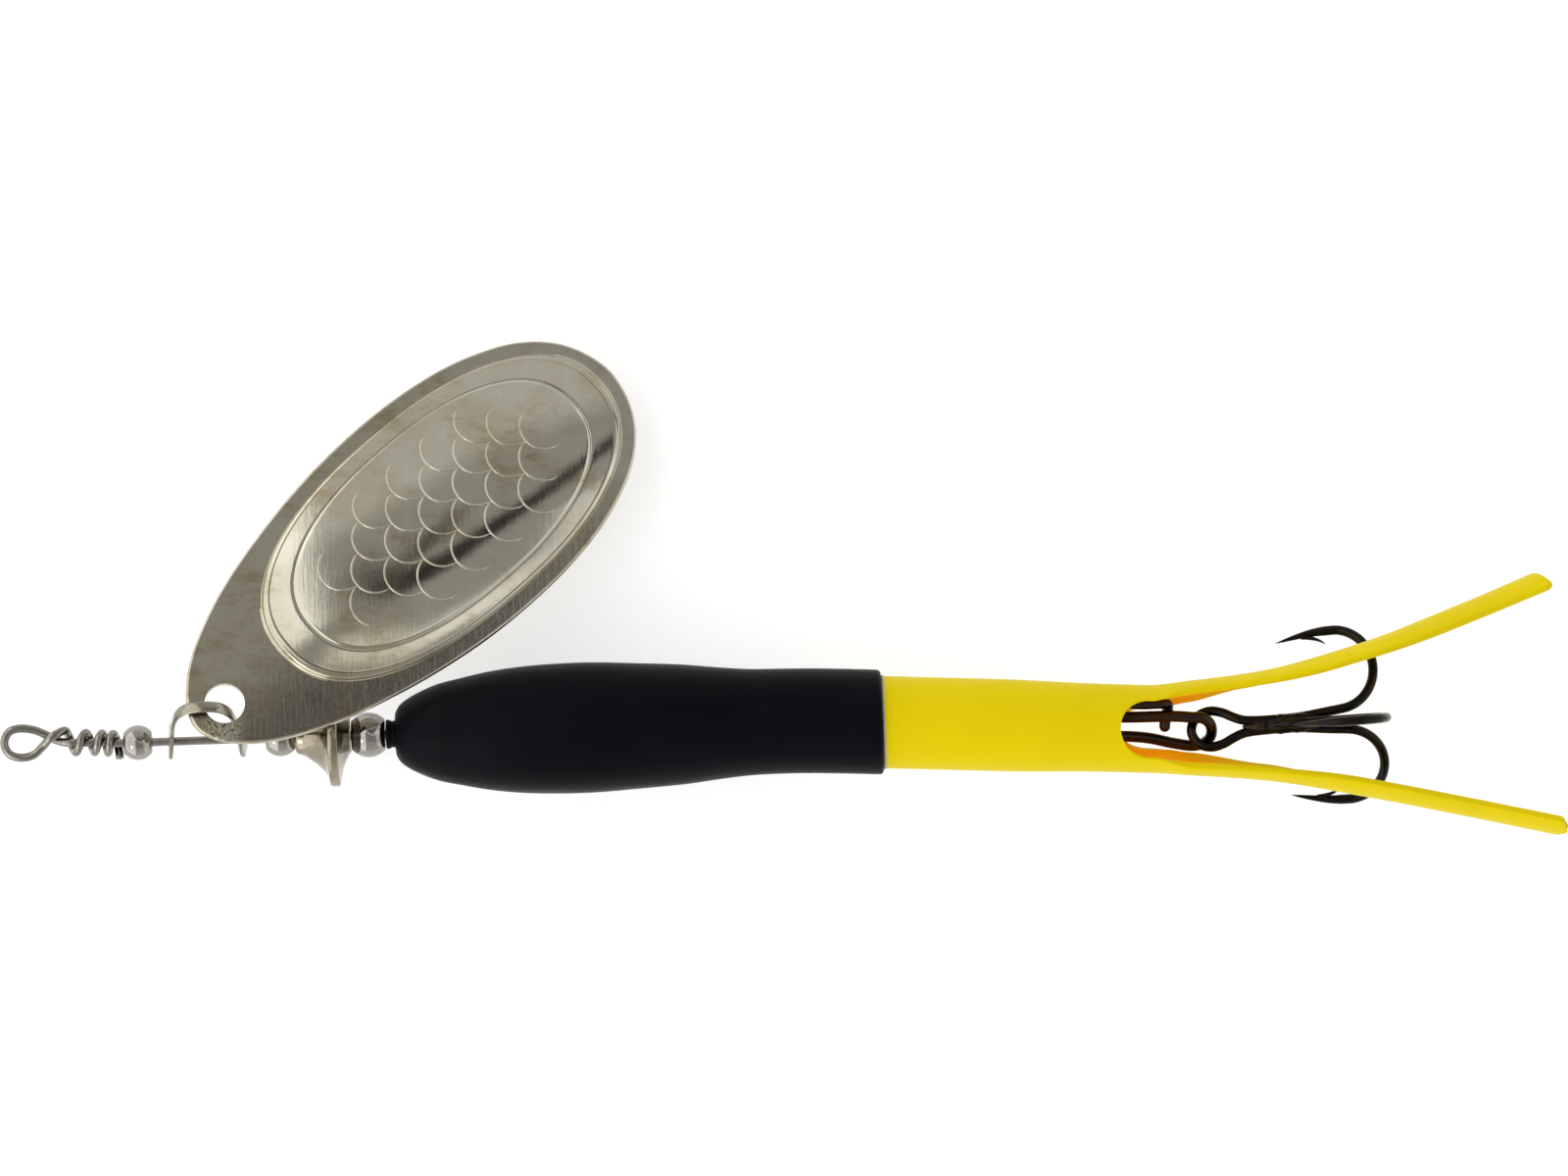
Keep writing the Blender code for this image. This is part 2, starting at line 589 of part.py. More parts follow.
def main():
    clear_scene()
    add_object("wire_shaft", make_shaft(), (0, 0, 0), STEEL)
    for name, (x0, x1, radius, centre) in BEADS.items():
        add_object(name, revolve(bead_profile(x0, x1, radius, centre), 24), (centre, 0, 0), NICKEL)
    add_object("bell_collar", revolve(COLLAR, 32), (30.5, 0, 0), NICKEL)

    clevis = add_object("clevis", make_clevis(), (18.8, 0, 0), NICKEL)
    boolean(clevis, axle_cutter("axle_cutter", 13.5, 24.0, BORE_R + 0.02), "DIFFERENCE")
    add_object("blade", make_blade(), BLADE_HOLE, NICKEL)

    add_object("body_weight", make_weight(), (0, 0, 0), BRASS)
    add_object("head_sleeve", make_sleeve(), (0, 0, 0), BLACK)
    tube = add_object("tail_tube", make_tube(), (0, 0, 0), YELLOW)
    boolean(tube, slot_cutter(), "DIFFERENCE")
    for name, path, form, sign in (("upper_tail", UPPER_PATH, UPPER_FORM, 1),
                                   ("lower_tail", LOWER_PATH, LOWER_FORM, -1)):
        pivot = (TAIL_START, body_y(TAIL_START) + sign * 3.8, 0)
        add_object(name, loft(tail_rings(path, form, sign)), pivot, YELLOW)

    add_object("rear_clip", make_clip(), (REAR_EYE_X, 0, 0), BRONZE)
    double = add_object("treble_double_hook", make_double_hook(), CLIP_END, BRONZE)
    single = add_object("treble_single_hook", make_single_hook(), CLIP_END, BRONZE)
    for k, (hook, form) in enumerate(zip((double, double, single), HOOKS)):
        barb = add_object("barb_%d" % k, make_barb(*form), (0, 0, 0), BRONZE)
        boolean(hook, barb, "UNION")


main()
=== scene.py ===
"""Looks of the inline spinner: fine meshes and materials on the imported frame.

The lure's lengths are in mm in the row frame: +X along the wire, +Z up. The floor, the
lights and the camera are placed in metres.
"""

import math

import bmesh
import bpy
from mathutils import Matrix, Vector


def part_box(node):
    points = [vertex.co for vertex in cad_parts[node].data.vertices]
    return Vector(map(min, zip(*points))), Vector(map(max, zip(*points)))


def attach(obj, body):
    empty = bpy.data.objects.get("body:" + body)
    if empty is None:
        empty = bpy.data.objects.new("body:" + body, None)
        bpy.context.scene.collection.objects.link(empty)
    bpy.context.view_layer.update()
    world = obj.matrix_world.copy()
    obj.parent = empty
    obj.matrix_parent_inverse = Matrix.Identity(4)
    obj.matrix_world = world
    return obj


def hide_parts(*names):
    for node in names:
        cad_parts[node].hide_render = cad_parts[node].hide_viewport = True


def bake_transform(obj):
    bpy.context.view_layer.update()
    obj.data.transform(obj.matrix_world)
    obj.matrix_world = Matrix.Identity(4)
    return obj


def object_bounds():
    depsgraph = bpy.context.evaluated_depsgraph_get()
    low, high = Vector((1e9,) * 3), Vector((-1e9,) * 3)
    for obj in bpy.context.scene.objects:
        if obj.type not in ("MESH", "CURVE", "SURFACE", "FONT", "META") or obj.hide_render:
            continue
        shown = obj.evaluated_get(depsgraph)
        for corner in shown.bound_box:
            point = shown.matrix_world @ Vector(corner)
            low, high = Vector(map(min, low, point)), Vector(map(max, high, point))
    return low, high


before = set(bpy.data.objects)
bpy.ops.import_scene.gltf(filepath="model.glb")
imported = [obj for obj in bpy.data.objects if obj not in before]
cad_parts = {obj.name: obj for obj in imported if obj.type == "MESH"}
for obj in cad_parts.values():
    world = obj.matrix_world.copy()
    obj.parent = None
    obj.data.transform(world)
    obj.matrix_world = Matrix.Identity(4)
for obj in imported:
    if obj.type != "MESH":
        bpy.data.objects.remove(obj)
CAD_LOW, CAD_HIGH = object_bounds()

MM = 0.001
WIRE_SIDES = 20
TURN_SEGS = 120
BODY_SEGS = 144

# wire shaft
SHAFT_R = 0.44
WRAP_R = 0.98
BORE_R = 0.52
REAR_EYE_X, REAR_EYE_R = 102.6, 1.60

BEAD_CENTRES = {"front_bead": 11.60, "bearing_bead": 26.15, "rear_bead": 35.15}
BEARING_GAP = 0.07       # running gap between collar and beads

# clevis
CLEVIS_TILT = math.radians(65.5)
CLEVIS_T, CLEVIS_LEG_R, CLEVIS_BOW_W, CLEVIS_TOP = 0.45, 1.85, 0.60, 8.42
CLEVIS_SIDES, CLEVIS_MID = 28, 18.75

# blade
BLADE_HOLE = (20.93, 3.67, 5.80)
BLADE_YAW = math.radians(39.08)
BLADE_FALL, BLADE_ROLL, BLADE_T, BLADE_HOLE_R = -0.226, -0.155, 0.80, 2.05
BLADE_LIP = 0.20
PANEL = (29.6, 21.8, 11.2, 2.3)
PANEL_STEP, PANEL_DOME, DOME_POWER = 0.40, 1.85, 2.2
GROOVE_AT, GROOVE_DEPTH, GROOVE_WIDTH = 0.82, 0.075, 0.0075
BLADE_EDGE = 0.30        # how far the rounded rim reaches in
BEAD_AT, BEAD_HEIGHT, BEAD_WIDTH = 0.962, 0.030, 0.0065
BLADE_WEAR, BLADE_WEAR_R = (20.6, 1.3, 5.6), 3.0
BLADE_OUTLINE = [(-3.9, 0.0), (-3.05, 2.35), (0.0, 5.45), (6.1, 8.6), (14.3, 11.0),
                 (22.5, 12.4), (29.7, 12.8), (36.9, 12.35), (43.0, 11.0), (48.2, 8.55),
                 (51.5, 5.1), (53.0, 0.0)]

SCALE_START, SCALE_R = 13.5, 2.45        # fish scales: first row and radius

# sizes of the panel's ovals: close together on the step, the bead and the groove
PANEL_SIZES = (1.0, 0.997, 0.994, 0.991, 0.988, 0.985, 0.982, 0.979, 0.976, 0.972, 0.967, 0.963,
               0.960, 0.957, 0.954, 0.951, 0.947, 0.941, 0.93, 0.915, 0.895, 0.87, 0.85, 0.84,
               0.834, 0.829, 0.825, 0.8225, 0.82, 0.8175, 0.815, 0.811, 0.806, 0.80, 0.79, 0.77)

# body and tails
BEND_START, BEND_LEN, BEND_SLOPE = 76.0, 8.0, -0.0595
SLEEVE_WALL = 0.62
TUBE_R, TUBE_WALL = 4.72, 0.80
TUBE_NECK = 0.22
TUBE_SEAM = 111.4        # the tube is whole up to here, the tails go on
SLOT_X, SLOT_R, SLOT_LOW = 114.7, 3.0, 2.1
STUB_R, TUBE_START = 3.82, 67.4
WEIGHT_END, STUB_END = 67.0, 74.0
TAIL_START, TAIL_END = 115.15, 156.6
TAIL_DROP = 4.0          # how far the tips hang below the wire
UPPER_PATH = [(118.6, 2.27), (127.7, 3.32), (137.8, 5.85), (147.9, 9.30), (155.5, 12.15)]
LOWER_PATH = [(118.6, -6.48), (127.7, -7.52), (137.8, -9.55), (147.9, -11.85), (157.0, -14.05)]
# x, upper and lower half angle of the strip's section, twist that shows its outer face
UPPER_FORM = [(115.15, 46, 57, 0), (118.6, 42, 47, -7), (124.5, 37, 37, -2), (134.0, 35, 32, 8),
              (146.0, 35, 35, 16), (155.5, 35, 35, 18)]
LOWER_FORM = [(115.15, 46, 57, 0), (118.6, 43, 47, -8), (126.0, 40, 39, -3), (136.0, 40, 36, 8),
              (146.0, 36, 36, 13), (157.0, 36, 36, 14)]

# clip and treble
CLIP_R, HOOK_R, SHANK_OFF = 0.58, 0.50, 0.61
CLIP_END = (121.15, -2.47, -0.65)
TREBLE_EYE = (121.0, -2.31, -0.65)
TREBLE_SLOPE = math.tan(math.radians(2.3))
TREBLE_RISE = 0.042
HOOKS = ((-27.0, 0.0), (216.0, 0.5), (90.0, 0.8))     # angle and extra reach
BEND_X, BEND_LONG, BEND_RAD, BEND_MID = 134.2, 3.85, 4.50, 5.75
POINT_LENGTH = 5.2       # ground part of a hook's wire
BARB_R, BARB_SIDES, SOLDER_SIDES = 0.3, 10, 28

SLEEVE = [(37.00, 1.50), (37.45, 1.35), (37.85, 1.42), (37.92, 2.15), (38.30, 2.85), (39.10, 3.50),
          (40.40, 4.20), (42.20, 4.92), (44.50, 5.45), (47.50, 6.05), (50.50, 6.42), (54.00, 6.62),
          (58.00, 6.65), (62.50, 6.42), (67.50, 6.10), (70.50, 5.76), (74.00, 5.44), (78.00, 5.36),
          (81.00, 5.36), (84.00, 5.36), (86.60, 5.36)]


# ---- helpers

def smooth(t):
    t = min(max(t, 0.0), 1.0)
    return t * t * (3.0 - 2.0 * t)


def body_y(x):
    """Side bend of the soft body."""
    if x <= BEND_START:
        return 0.0
    if x < BEND_START + BEND_LEN:
        return BEND_SLOPE * (x - BEND_START) ** 2 / (2.0 * BEND_LEN)
    return BEND_SLOPE * (x - BEND_START - BEND_LEN / 2.0)


def spline(points, step):
    """Points every step mm or so along a smooth curve through the given ones."""
    pts = [Vector(p) for p in points]
    ext = [pts[0] * 2 - pts[1]] + pts + [pts[-1] * 2 - pts[-2]]
    out = []
    for i in range(1, len(ext) - 2):
        a, b, c, d = ext[i - 1:i + 3]
        gaps = [max((q - p).length, 1e-6) ** 0.5 for p, q in ((a, b), (b, c), (c, d))]
        m1 = (b - a) / gaps[0] - (c - a) / (gaps[0] + gaps[1]) + (c - b) / gaps[1]
        m2 = (c - b) / gaps[1] - (d - b) / (gaps[1] + gaps[2]) + (d - c) / gaps[2]
        m1, m2 = m1 * gaps[1], m2 * gaps[1]
        turn = m1.angle(m2, 0.0) + m1.angle(c - b, 0.0)
        count = max(1, round((c - b).length / step)) if turn > 0.02 else 1
        for k in range(count):
            t = k / count
            out.append(b * (2 * t ** 3 - 3 * t ** 2 + 1) + m1 * (t ** 3 - 2 * t ** 2 + t)
                       + c * (3 * t ** 2 - 2 * t ** 3) + m2 * (t ** 3 - t ** 2))
    out.append(pts[-1])
    return out


def flat_spline(points, step):
    """The same for a flat outline of (x, radius) points."""
    return [(p.x, p.y) for p in spline([(x, r, 0) for x, r in points], step)]


def arc(centre, radius, start, end, count, place=lambda a, b: (a, b)):
    """Points of an arc from start to end degrees, each handed to place."""
    pts = []
    for k in range(count + 1):
        ang = math.radians(start + (end - start) * k / count)
        pts.append(place(centre[0] + radius * math.cos(ang), centre[1] + radius * math.sin(ang)))
    return pts


def loft(rings):
    """Closed body from equal rings, with flat ends."""
    bm = bmesh.new()
    rows = [[bm.verts.new(p) for p in ring] for ring in rings]
    n = len(rows[0])
    for a, b in zip(rows, rows[1:]):
        for k in range(n):
            bm.faces.new((a[k], a[(k + 1) % n], b[(k + 1) % n], b[k]))
    bm.faces.new(rows[0][::-1])
    bm.faces.new(rows[-1])
    return bm


def wire(path, radii, sides=WIRE_SIDES):
    """Round wire along a path, without twist, with a radius for each point."""
    path = [Vector(p) for p in path]
    tangents = []
    for i in range(len(path)):
        a, b = path[max(i - 1, 0)], path[min(i + 1, len(path) - 1)]
        tangents.append((b - a).normalized())
    side = tangents[0].orthogonal().normalized()
    rings = []
    for i, (p, t, r) in enumerate(zip(path, tangents, radii)):
        if i:
            side = tangents[i - 1].rotation_difference(t) @ side
            side = (side - t * side.dot(t)).normalized()
        up = t.cross(side)
        rings.append([p + (side * math.cos(2 * math.pi * k / sides)
                           + up * math.sin(2 * math.pi * k / sides)) * r for k in range(sides)])
    return loft(rings)


def round_end(path, radius, at_start=True, dome=False):
    """Extra points and radii that break the edge of a cut wire end."""
    if at_start:
        tip, nxt = path[0], path[1]
    else:
        tip, nxt = path[-1], path[-2]
    back = (nxt - tip).normalized()
    if dome:
        steps = (0.0, 0.05, 0.16, 0.34, 0.58, 0.85)
        return ([tip + back * radius * s for s in steps],
                [radius * max(math.sqrt(1 - (1 - s) ** 2), 0.08) for s in steps])
    pts = [tip, tip + back * radius * 0.12, tip + back * radius * 0.30]
    return pts, [radius * 0.70, radius * 0.92, radius]


def cut_wire(path, radius, dome=False):
    """Wire with both cut ends rounded."""
    head, head_r = round_end(path, radius, dome=dome)
    tail, tail_r = round_end(path, radius, at_start=False, dome=dome)
    body = [p for p in path if min((p - path[0]).length, (p - path[-1]).length) > radius * 0.9]
    full = head + body + tail[::-1]
    radii = head_r + [radius] * len(body) + tail_r[::-1]
    return wire(full, radii)


def revolve(profile, bend=False, segs=TURN_SEGS):
    """Ring-shaped body: closed (x, r) profile turned about the wire's axis."""
    bm = bmesh.new()
    rows = []
    for x, r in profile:
        dy = body_y(x) if bend else 0.0
        rows.append([bm.verts.new((x, dy + r * math.cos(2 * math.pi * k / segs),
                                   r * math.sin(2 * math.pi * k / segs))) for k in range(segs)])
    m = len(rows)
    for i in range(m):
        a, b = rows[i], rows[(i + 1) % m]
        for k in range(segs):
            bm.faces.new((a[k], a[(k + 1) % segs], b[(k + 1) % segs], b[k]))
    return bm


def to_mesh(name, bm):
    mesh = bpy.data.meshes.new(name)
    bm.to_mesh(mesh)
    bm.free()
    return mesh


def absorb(bm, piece):
    """Adds the faces of piece to bm and frees piece."""
    mesh = to_mesh("piece", piece)
    bm.from_mesh(mesh)
    bpy.data.meshes.remove(mesh)


def add_object(name, data):
    obj = bpy.data.objects.new(name, data)
    bpy.context.scene.collection.objects.link(obj)
    return obj


def put(name, bm, body, nodes, mat, sharp=40.0, slot=None):
    """Mesh in mm becomes a piece that stands for its CAD nodes."""
    bmesh.ops.recalc_face_normals(bm, faces=bm.faces)
    bmesh.ops.scale(bm, verts=bm.verts, vec=(MM, MM, MM))
    mesh = to_mesh(name, bm)
    mesh.polygons.foreach_set("use_smooth", [True] * len(mesh.polygons))
    mesh.set_sharp_from_angle(angle=math.radians(sharp))
    mesh.materials.append(mat)
    obj = add_object(name, mesh)
    if body:
        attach(obj, body)
    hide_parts(*nodes)
    if nodes or slot:
        slot or nodes[0]
    return obj


# ---- materials

class Nodes:
    """Small helpers for one node tree."""

    def __init__(self, tree):
        self.tree = tree

    def node(self, kind, **settings):
        made = self.tree.nodes.new(kind)
        for key, value in settings.items():
            setattr(made, key, value)
        return made

    def link(self, a, b):
        self.tree.links.new(a, b)

    def maths(self, kind, a, b):
        """Result of a maths node; a and b are each a number or a socket."""
        made = self.node("ShaderNodeMath", operation=kind)
        for key, value in ((0, a), (1, b)):
            if isinstance(value, (int, float)):
                made.inputs[key].default_value = value
            else:
                self.link(value, made.inputs[key])
        return made.outputs[0]


class Look(Nodes):
    """A Principled material with its noises, ramps and bumps."""

    def __init__(self, name, rough, metal, **sockets):
        self.mat = bpy.data.materials.new(name)
        self.mat.use_nodes = True
        super().__init__(self.mat.node_tree)
        self.shader = self.tree.nodes["Principled BSDF"]
        self.shader.inputs["Roughness"].default_value = rough
        self.shader.inputs["Metallic"].default_value = metal
        for key, value in sockets.items():
            self.shader.inputs[key.replace("_", " ")].default_value = value
        self.coords = self.node("ShaderNodeTexCoord").outputs["Object"]
        self.height = None

    def mapped(self, scale, turn=(0, 0, 0)):
        mapping = self.node("ShaderNodeMapping")
        mapping.inputs["Scale"].default_value = scale
        mapping.inputs["Rotation"].default_value = turn
        self.link(self.coords, mapping.inputs["Vector"])
        return mapping.outputs["Vector"]

    def noise(self, scale, detail=3.0, vector=None, rough=0.5, distort=0.0):
        tex = self.node("ShaderNodeTexNoise")
        tex.inputs["Scale"].default_value = scale
        tex.inputs["Detail"].default_value = detail
        tex.inputs["Roughness"].default_value = rough
        tex.inputs["Distortion"].default_value = distort
        self.link(vector or self.coords, tex.inputs["Vector"])
        return tex.outputs["Fac"]

    def band(self, value, low, high, a=0.0, b=1.0):
        """value from low..high becomes a..b, clamped."""
        ramp = self.node("ShaderNodeMapRange")
        for key, number in (("From Min", low), ("From Max", high), ("To Min", a), ("To Max", b)):
            ramp.inputs[key].default_value = number
        self.link(value, ramp.inputs["Value"])
        return ramp.outputs["Result"]

    def near(self, place, full, none):
        """1 within full mm of a place, falling to 0 at none mm."""
        gap = self.node("ShaderNodeVectorMath", operation="DISTANCE")
        self.link(self.coords, gap.inputs[0])
        gap.inputs[1].default_value = tuple(v * MM for v in place)
        return self.band(gap.outputs["Value"], full * MM, none * MM, 1.0, 0.0)

    def mix(self, factor, a, b):
        """Colour between a and b; each is a colour or a socket."""
        made = self.node("ShaderNodeMix", data_type="RGBA")
        for key, value in ((6, a), (7, b)):
            if isinstance(value, tuple):
                made.inputs[key].default_value = (*value, 1.0)
            else:
                self.link(value, made.inputs[key])
        self.link(factor, made.inputs[0])
        return made.outputs[2]

    def colour(self, socket):
        self.link(socket, self.shader.inputs["Base Color"])

    def roughness(self, socket):
        self.link(socket, self.shader.inputs["Roughness"])

    def bump(self, height, distance, strength=1.0):
        made = self.node("ShaderNodeBump")
        made.inputs["Distance"].default_value = distance * MM
        made.inputs["Strength"].default_value = strength
        self.link(height, made.inputs["Height"])
        if self.height is not None:
            self.link(self.height, made.inputs["Normal"])
        self.height = made.outputs["Normal"]
        self.link(self.height, self.shader.inputs["Normal"])


def blade_metal():
    """Bright nickel: hairlines, brown tarnish in clouds, plating rubbed rough by the clevis."""
    look = Look("blade_nickel", 0.14, 1.0)
    fine = look.noise(1.0, 4.0, look.mapped((2900.0, 170.0, 300.0)), 0.7)
    cross = look.noise(1.0, 3.0, look.mapped((900.0, 3600.0, 380.0), (0, 0, 0.7)), 0.6)
    scratch = look.maths("ADD", look.band(fine, 0.58, 0.74, 0.0, 0.6),
                         look.band(cross, 0.68, 0.80, 0.0, 0.3))
    cloud = look.noise(95.0, 4.0, None, 0.6, 0.6)
    stain = look.noise(300.0, 6.0, look.mapped((1.0, 2.2, 1.0), (0, 0, 0.9)), 0.72)
    base = look.mix(look.band(cloud, 0.38, 0.66), (0.46, 0.438, 0.362), (0.40, 0.362, 0.270))
    brown = look.maths("MULTIPLY", look.band(stain, 0.48, 0.70), look.band(cloud, 0.38, 0.60))
    tinted = look.mix(look.maths("MULTIPLY", brown, 0.75), base, (0.25, 0.18, 0.095))
    tinted = look.mix(look.maths("MULTIPLY", scratch, 0.50), tinted, (0.60, 0.58, 0.52))
    rubbed = look.near(BLADE_WEAR, BLADE_WEAR_R * 0.45, BLADE_WEAR_R)
    pits = look.noise(2300.0, 3.0, None, 0.6)
    worn = look.maths("MULTIPLY", rubbed, look.band(pits, 0.44, 0.60))
    look.colour(look.mix(worn, tinted, (0.15, 0.135, 0.105)))
    dull = look.maths("ADD", look.band(stain, 0.40, 0.70, 0.0, 0.05),
                      look.band(scratch, 0.0, 1.0, 0.0, 0.10))
    dull = look.maths("ADD", dull, look.maths("MULTIPLY", rubbed, 0.10))
    look.roughness(look.maths("ADD", dull, look.band(cloud, 0.35, 0.65, 0.060, 0.105)))
    look.bump(fine, 0.0075)
    look.bump(cross, 0.0010)
    look.bump(look.noise(260.0, 3.0), 0.010)
    look.bump(worn, 0.030)
    return look.mat


def plated(name, base, dark, rough, ripple=0.006):
    """Bright plating with faint pits, smears and a darker film in places."""
    look = Look(name, rough, 1.0)
    film = look.noise(420.0, 4.0, None, 0.65, 0.4)
    pits = look.noise(2600.0, 2.0)
    look.colour(look.mix(look.band(film, 0.42, 0.72), base, dark))
    look.roughness(look.band(film, 0.3, 0.7, rough * 0.75, rough * 1.45))
    look.bump(film, ripple * 2.0)
    look.bump(pits, ripple)
    return look.mat


def turned_metal(name, base, dark, rough):
    """Plated turned part: fine tool rings about the wire's axis."""
    look = Look(name, rough, 1.0)
    rings = look.noise(1.0, 3.0, look.mapped((5200.0, 160.0, 160.0)))
    film = look.noise(380.0, 4.0, None, 0.65, 0.5)
    look.colour(look.mix(look.band(film, 0.40, 0.70), base, dark))
    look.roughness(look.band(rings, 0.3, 0.7, rough * 0.7, rough * 1.5))
    look.bump(rings, 0.008)
    look.bump(film, 0.012)
    return look.mat


def drawn_wire(name, base, dark, rough, patchy):
    """Wire with lengthwise die marks and a patchy second colour: a film on the shaft, a painted reflection
    of the yellow tails on the clip, hooks and solder.
    """
    look = Look(name, rough, 1.0)
    marks = look.noise(1.0, 3.0, look.mapped((260.0, 5200.0, 5200.0)))
    film = look.noise(520.0, 4.0, None, 0.6, 0.5)
    # patches of the second colour: film on the shaft, painted reflection of the yellow tails on the dark
    # wires
    look.colour(look.mix(look.band(film, 0.56 - patchy, 0.60 + patchy), base, dark))
    look.roughness(look.band(marks, 0.3, 0.7, rough * 0.75, rough * 1.4))
    look.bump(marks, 0.010)
    look.bump(film, 0.010)
    return look.mat


def rubber(name, base, second, rough, spec, grain, inside=None, **sockets):
    """Moulded rubber: soft waves, fine grain, specks and dust in the film.

    inside is (x in metres, x in metres, colour): painted glow, a colour and a faint emission standing in
    for light through the wall, that fade out between the two.
    """
    look = Look(name, rough, 0.0, Specular_IOR_Level=spec, **sockets)
    cloud = look.noise(90.0, 4.0, None, 0.6, 0.3)
    specks = look.noise(3400.0, 2.0)
    along = look.noise(1.0, 3.0, look.mapped((60.0, 900.0, 900.0)))
    tint = look.mix(look.band(cloud, 0.35, 0.70), base, second)
    marks = look.noise(1.0, 3.0, look.mapped((420.0, 1500.0, 1500.0), (0.3, 0.2, 0.4)), 0.55)
    dirt = look.maths("MULTIPLY", look.band(marks, 0.74, 0.80), 0.55)
    tint = look.mix(dirt, tint, tuple(v * 0.45 for v in base))
    # painted glow: orange colour and emission stand in for light coming through the wall
    if inside:
        split = look.node("ShaderNodeSeparateXYZ")
        look.link(look.coords, split.inputs[0])
        depth = look.band(split.outputs["X"], inside[0], inside[1], 1.0, 0.0)
        tint = look.mix(depth, tint, inside[2])
        look.shader.inputs["Emission Color"].default_value = (*inside[2], 1.0)
        look.link(look.maths("MULTIPLY", depth, 0.30), look.shader.inputs["Emission Strength"])
    look.colour(tint)
    look.roughness(look.maths("ADD", look.band(specks, 0.3, 0.7, rough - 0.05, rough + 0.06),
                              look.band(along, 0.35, 0.65, -0.04, 0.05)))
    look.bump(along, 0.03)
    look.bump(cloud, 0.05)
    look.bump(specks, grain)
    return look.mat


NICKEL = blade_metal()
BEAD = plated("bead_nickel", (0.31, 0.30, 0.275), (0.22, 0.21, 0.175), 0.06)
STRIP = plated("clevis_nickel", (0.27, 0.252, 0.20), (0.155, 0.135, 0.095), 0.16, 0.010)
COLLAR_METAL = turned_metal("collar_nickel", (0.29, 0.265, 0.20), (0.18, 0.15, 0.095), 0.13)
BRASS = turned_metal("weight_brass", (0.66, 0.50, 0.22), (0.48, 0.34, 0.14), 0.34)
STEEL = drawn_wire("shaft_steel", (0.25, 0.24, 0.21), (0.145, 0.135, 0.11), 0.17, 0.20)
# dark wires: the brown second colour of the clip, hooks and solder is a painted reflection of the yellow
# tails
BRONZE = drawn_wire("clip_bronze", (0.030, 0.024, 0.020), (0.060, 0.026, 0.007), 0.20, 0.18)
HOOK_METAL = drawn_wire("hook_nickel", (0.0125, 0.0125, 0.0135), (0.028, 0.017, 0.008), 0.19, 0.12)
SOLDER = drawn_wire("solder_dark_metal", (0.013, 0.013, 0.0135), (0.028, 0.018, 0.010), 0.32, 0.14)
BLACK = rubber("sleeve_rubber", (0.0020, 0.0021, 0.0036), (0.0036, 0.0037, 0.0060), 0.40, 0.04, 0.004)
# painted highlight: a pale ring stands for the glossy line where the tube leaves the sleeve
PALE = rubber("pale_joint_highlight", (0.36, 0.36, 0.32), (0.26, 0.25, 0.18), 0.30, 0.4, 0.004)
YELLOW = rubber("tail_rubber", (0.610, 0.478, 0.0010), (0.650, 0.508, 0.0014), 0.42, 0.045, 0.004)
# painted glow: the tube's inside is coloured orange and made to emit, standing in for light that comes
# through the wall, less and less along the tails
YELLOW_IN = rubber("tail_rubber_inside", (0.635, 0.480, 0.0010), (0.67, 0.505, 0.0013), 0.45, 0.04,
                   0.004, inside=(0.1175, 0.126, (0.93, 0.36, 0.0012)))


# ---- wire shaft

def shaft_y(x):
    return 0.2 * smooth((9.6 - x) / 3.5)


def make_shaft():
    eye = [(-0.60, 1.83), (-1.55, 1.50), (-2.05, 0.42), (-1.62, -0.66), (-0.60, -1.12),
           (0.85, -0.92), (1.95, 0.02)]
    front = [(9.9, shaft_y(9.9), 0), (7.5, shaft_y(7.5), 0), (5.4, 0.2, 0), (4.4, 0.22, -0.05),
             (3.2, 0.55, -0.42), (2.2, 1.10, -0.50), (0.9, 1.66, -0.30)]
    front += [(x, y, -0.12 + 0.03 * i) for i, (x, y) in enumerate(eye)]
    front += [(2.75, 0.80, 0.52), (3.45, 1.22, 0.42)]
    tops = [4.15, 5.25, 6.30, 7.15, 7.95, 8.50, 9.02]
    for half in range(len(tops) - 1):
        for q in range(4):
            t = q / 4
            ang = math.pi * (half + t)
            x = tops[half] + (tops[half + 1] - tops[half]) * t
            rad = WRAP_R + (0.30 * (1 - t) if half == 0 else 0.0)
            front.append((x, shaft_y(x) + rad * math.cos(ang), -rad * math.sin(ang)))
    front += [(9.10, WRAP_R, 0.0), (9.24, 0.66, -0.76), (9.42, -0.1, -0.98), (9.58, -0.95, -0.75),
              (9.66, -1.6, -0.55)]
    rear = [(10.4, 0, 0), (60.0, 0, 0), (97.0, 0, 0), (99.4, 0, 0), (100.3, 0, 0.28)]
    rear += arc((REAR_EYE_X, 0.0), REAR_EYE_R, 140, -140, 10, lambda a, b: (a, 0.0, b))
    for q in range(10):
        ang = math.pi / 2 * q
        rear.append((100.25 - 0.28 * q, WRAP_R * math.sin(ang), -WRAP_R * math.cos(ang)))
    path = spline(front[::-1], 0.11) + spline(rear, 0.16)
    put("shaft_wire", cut_wire(path, SHAFT_R), "wire", ["wire_shaft"], STEEL)


# ---- turned parts

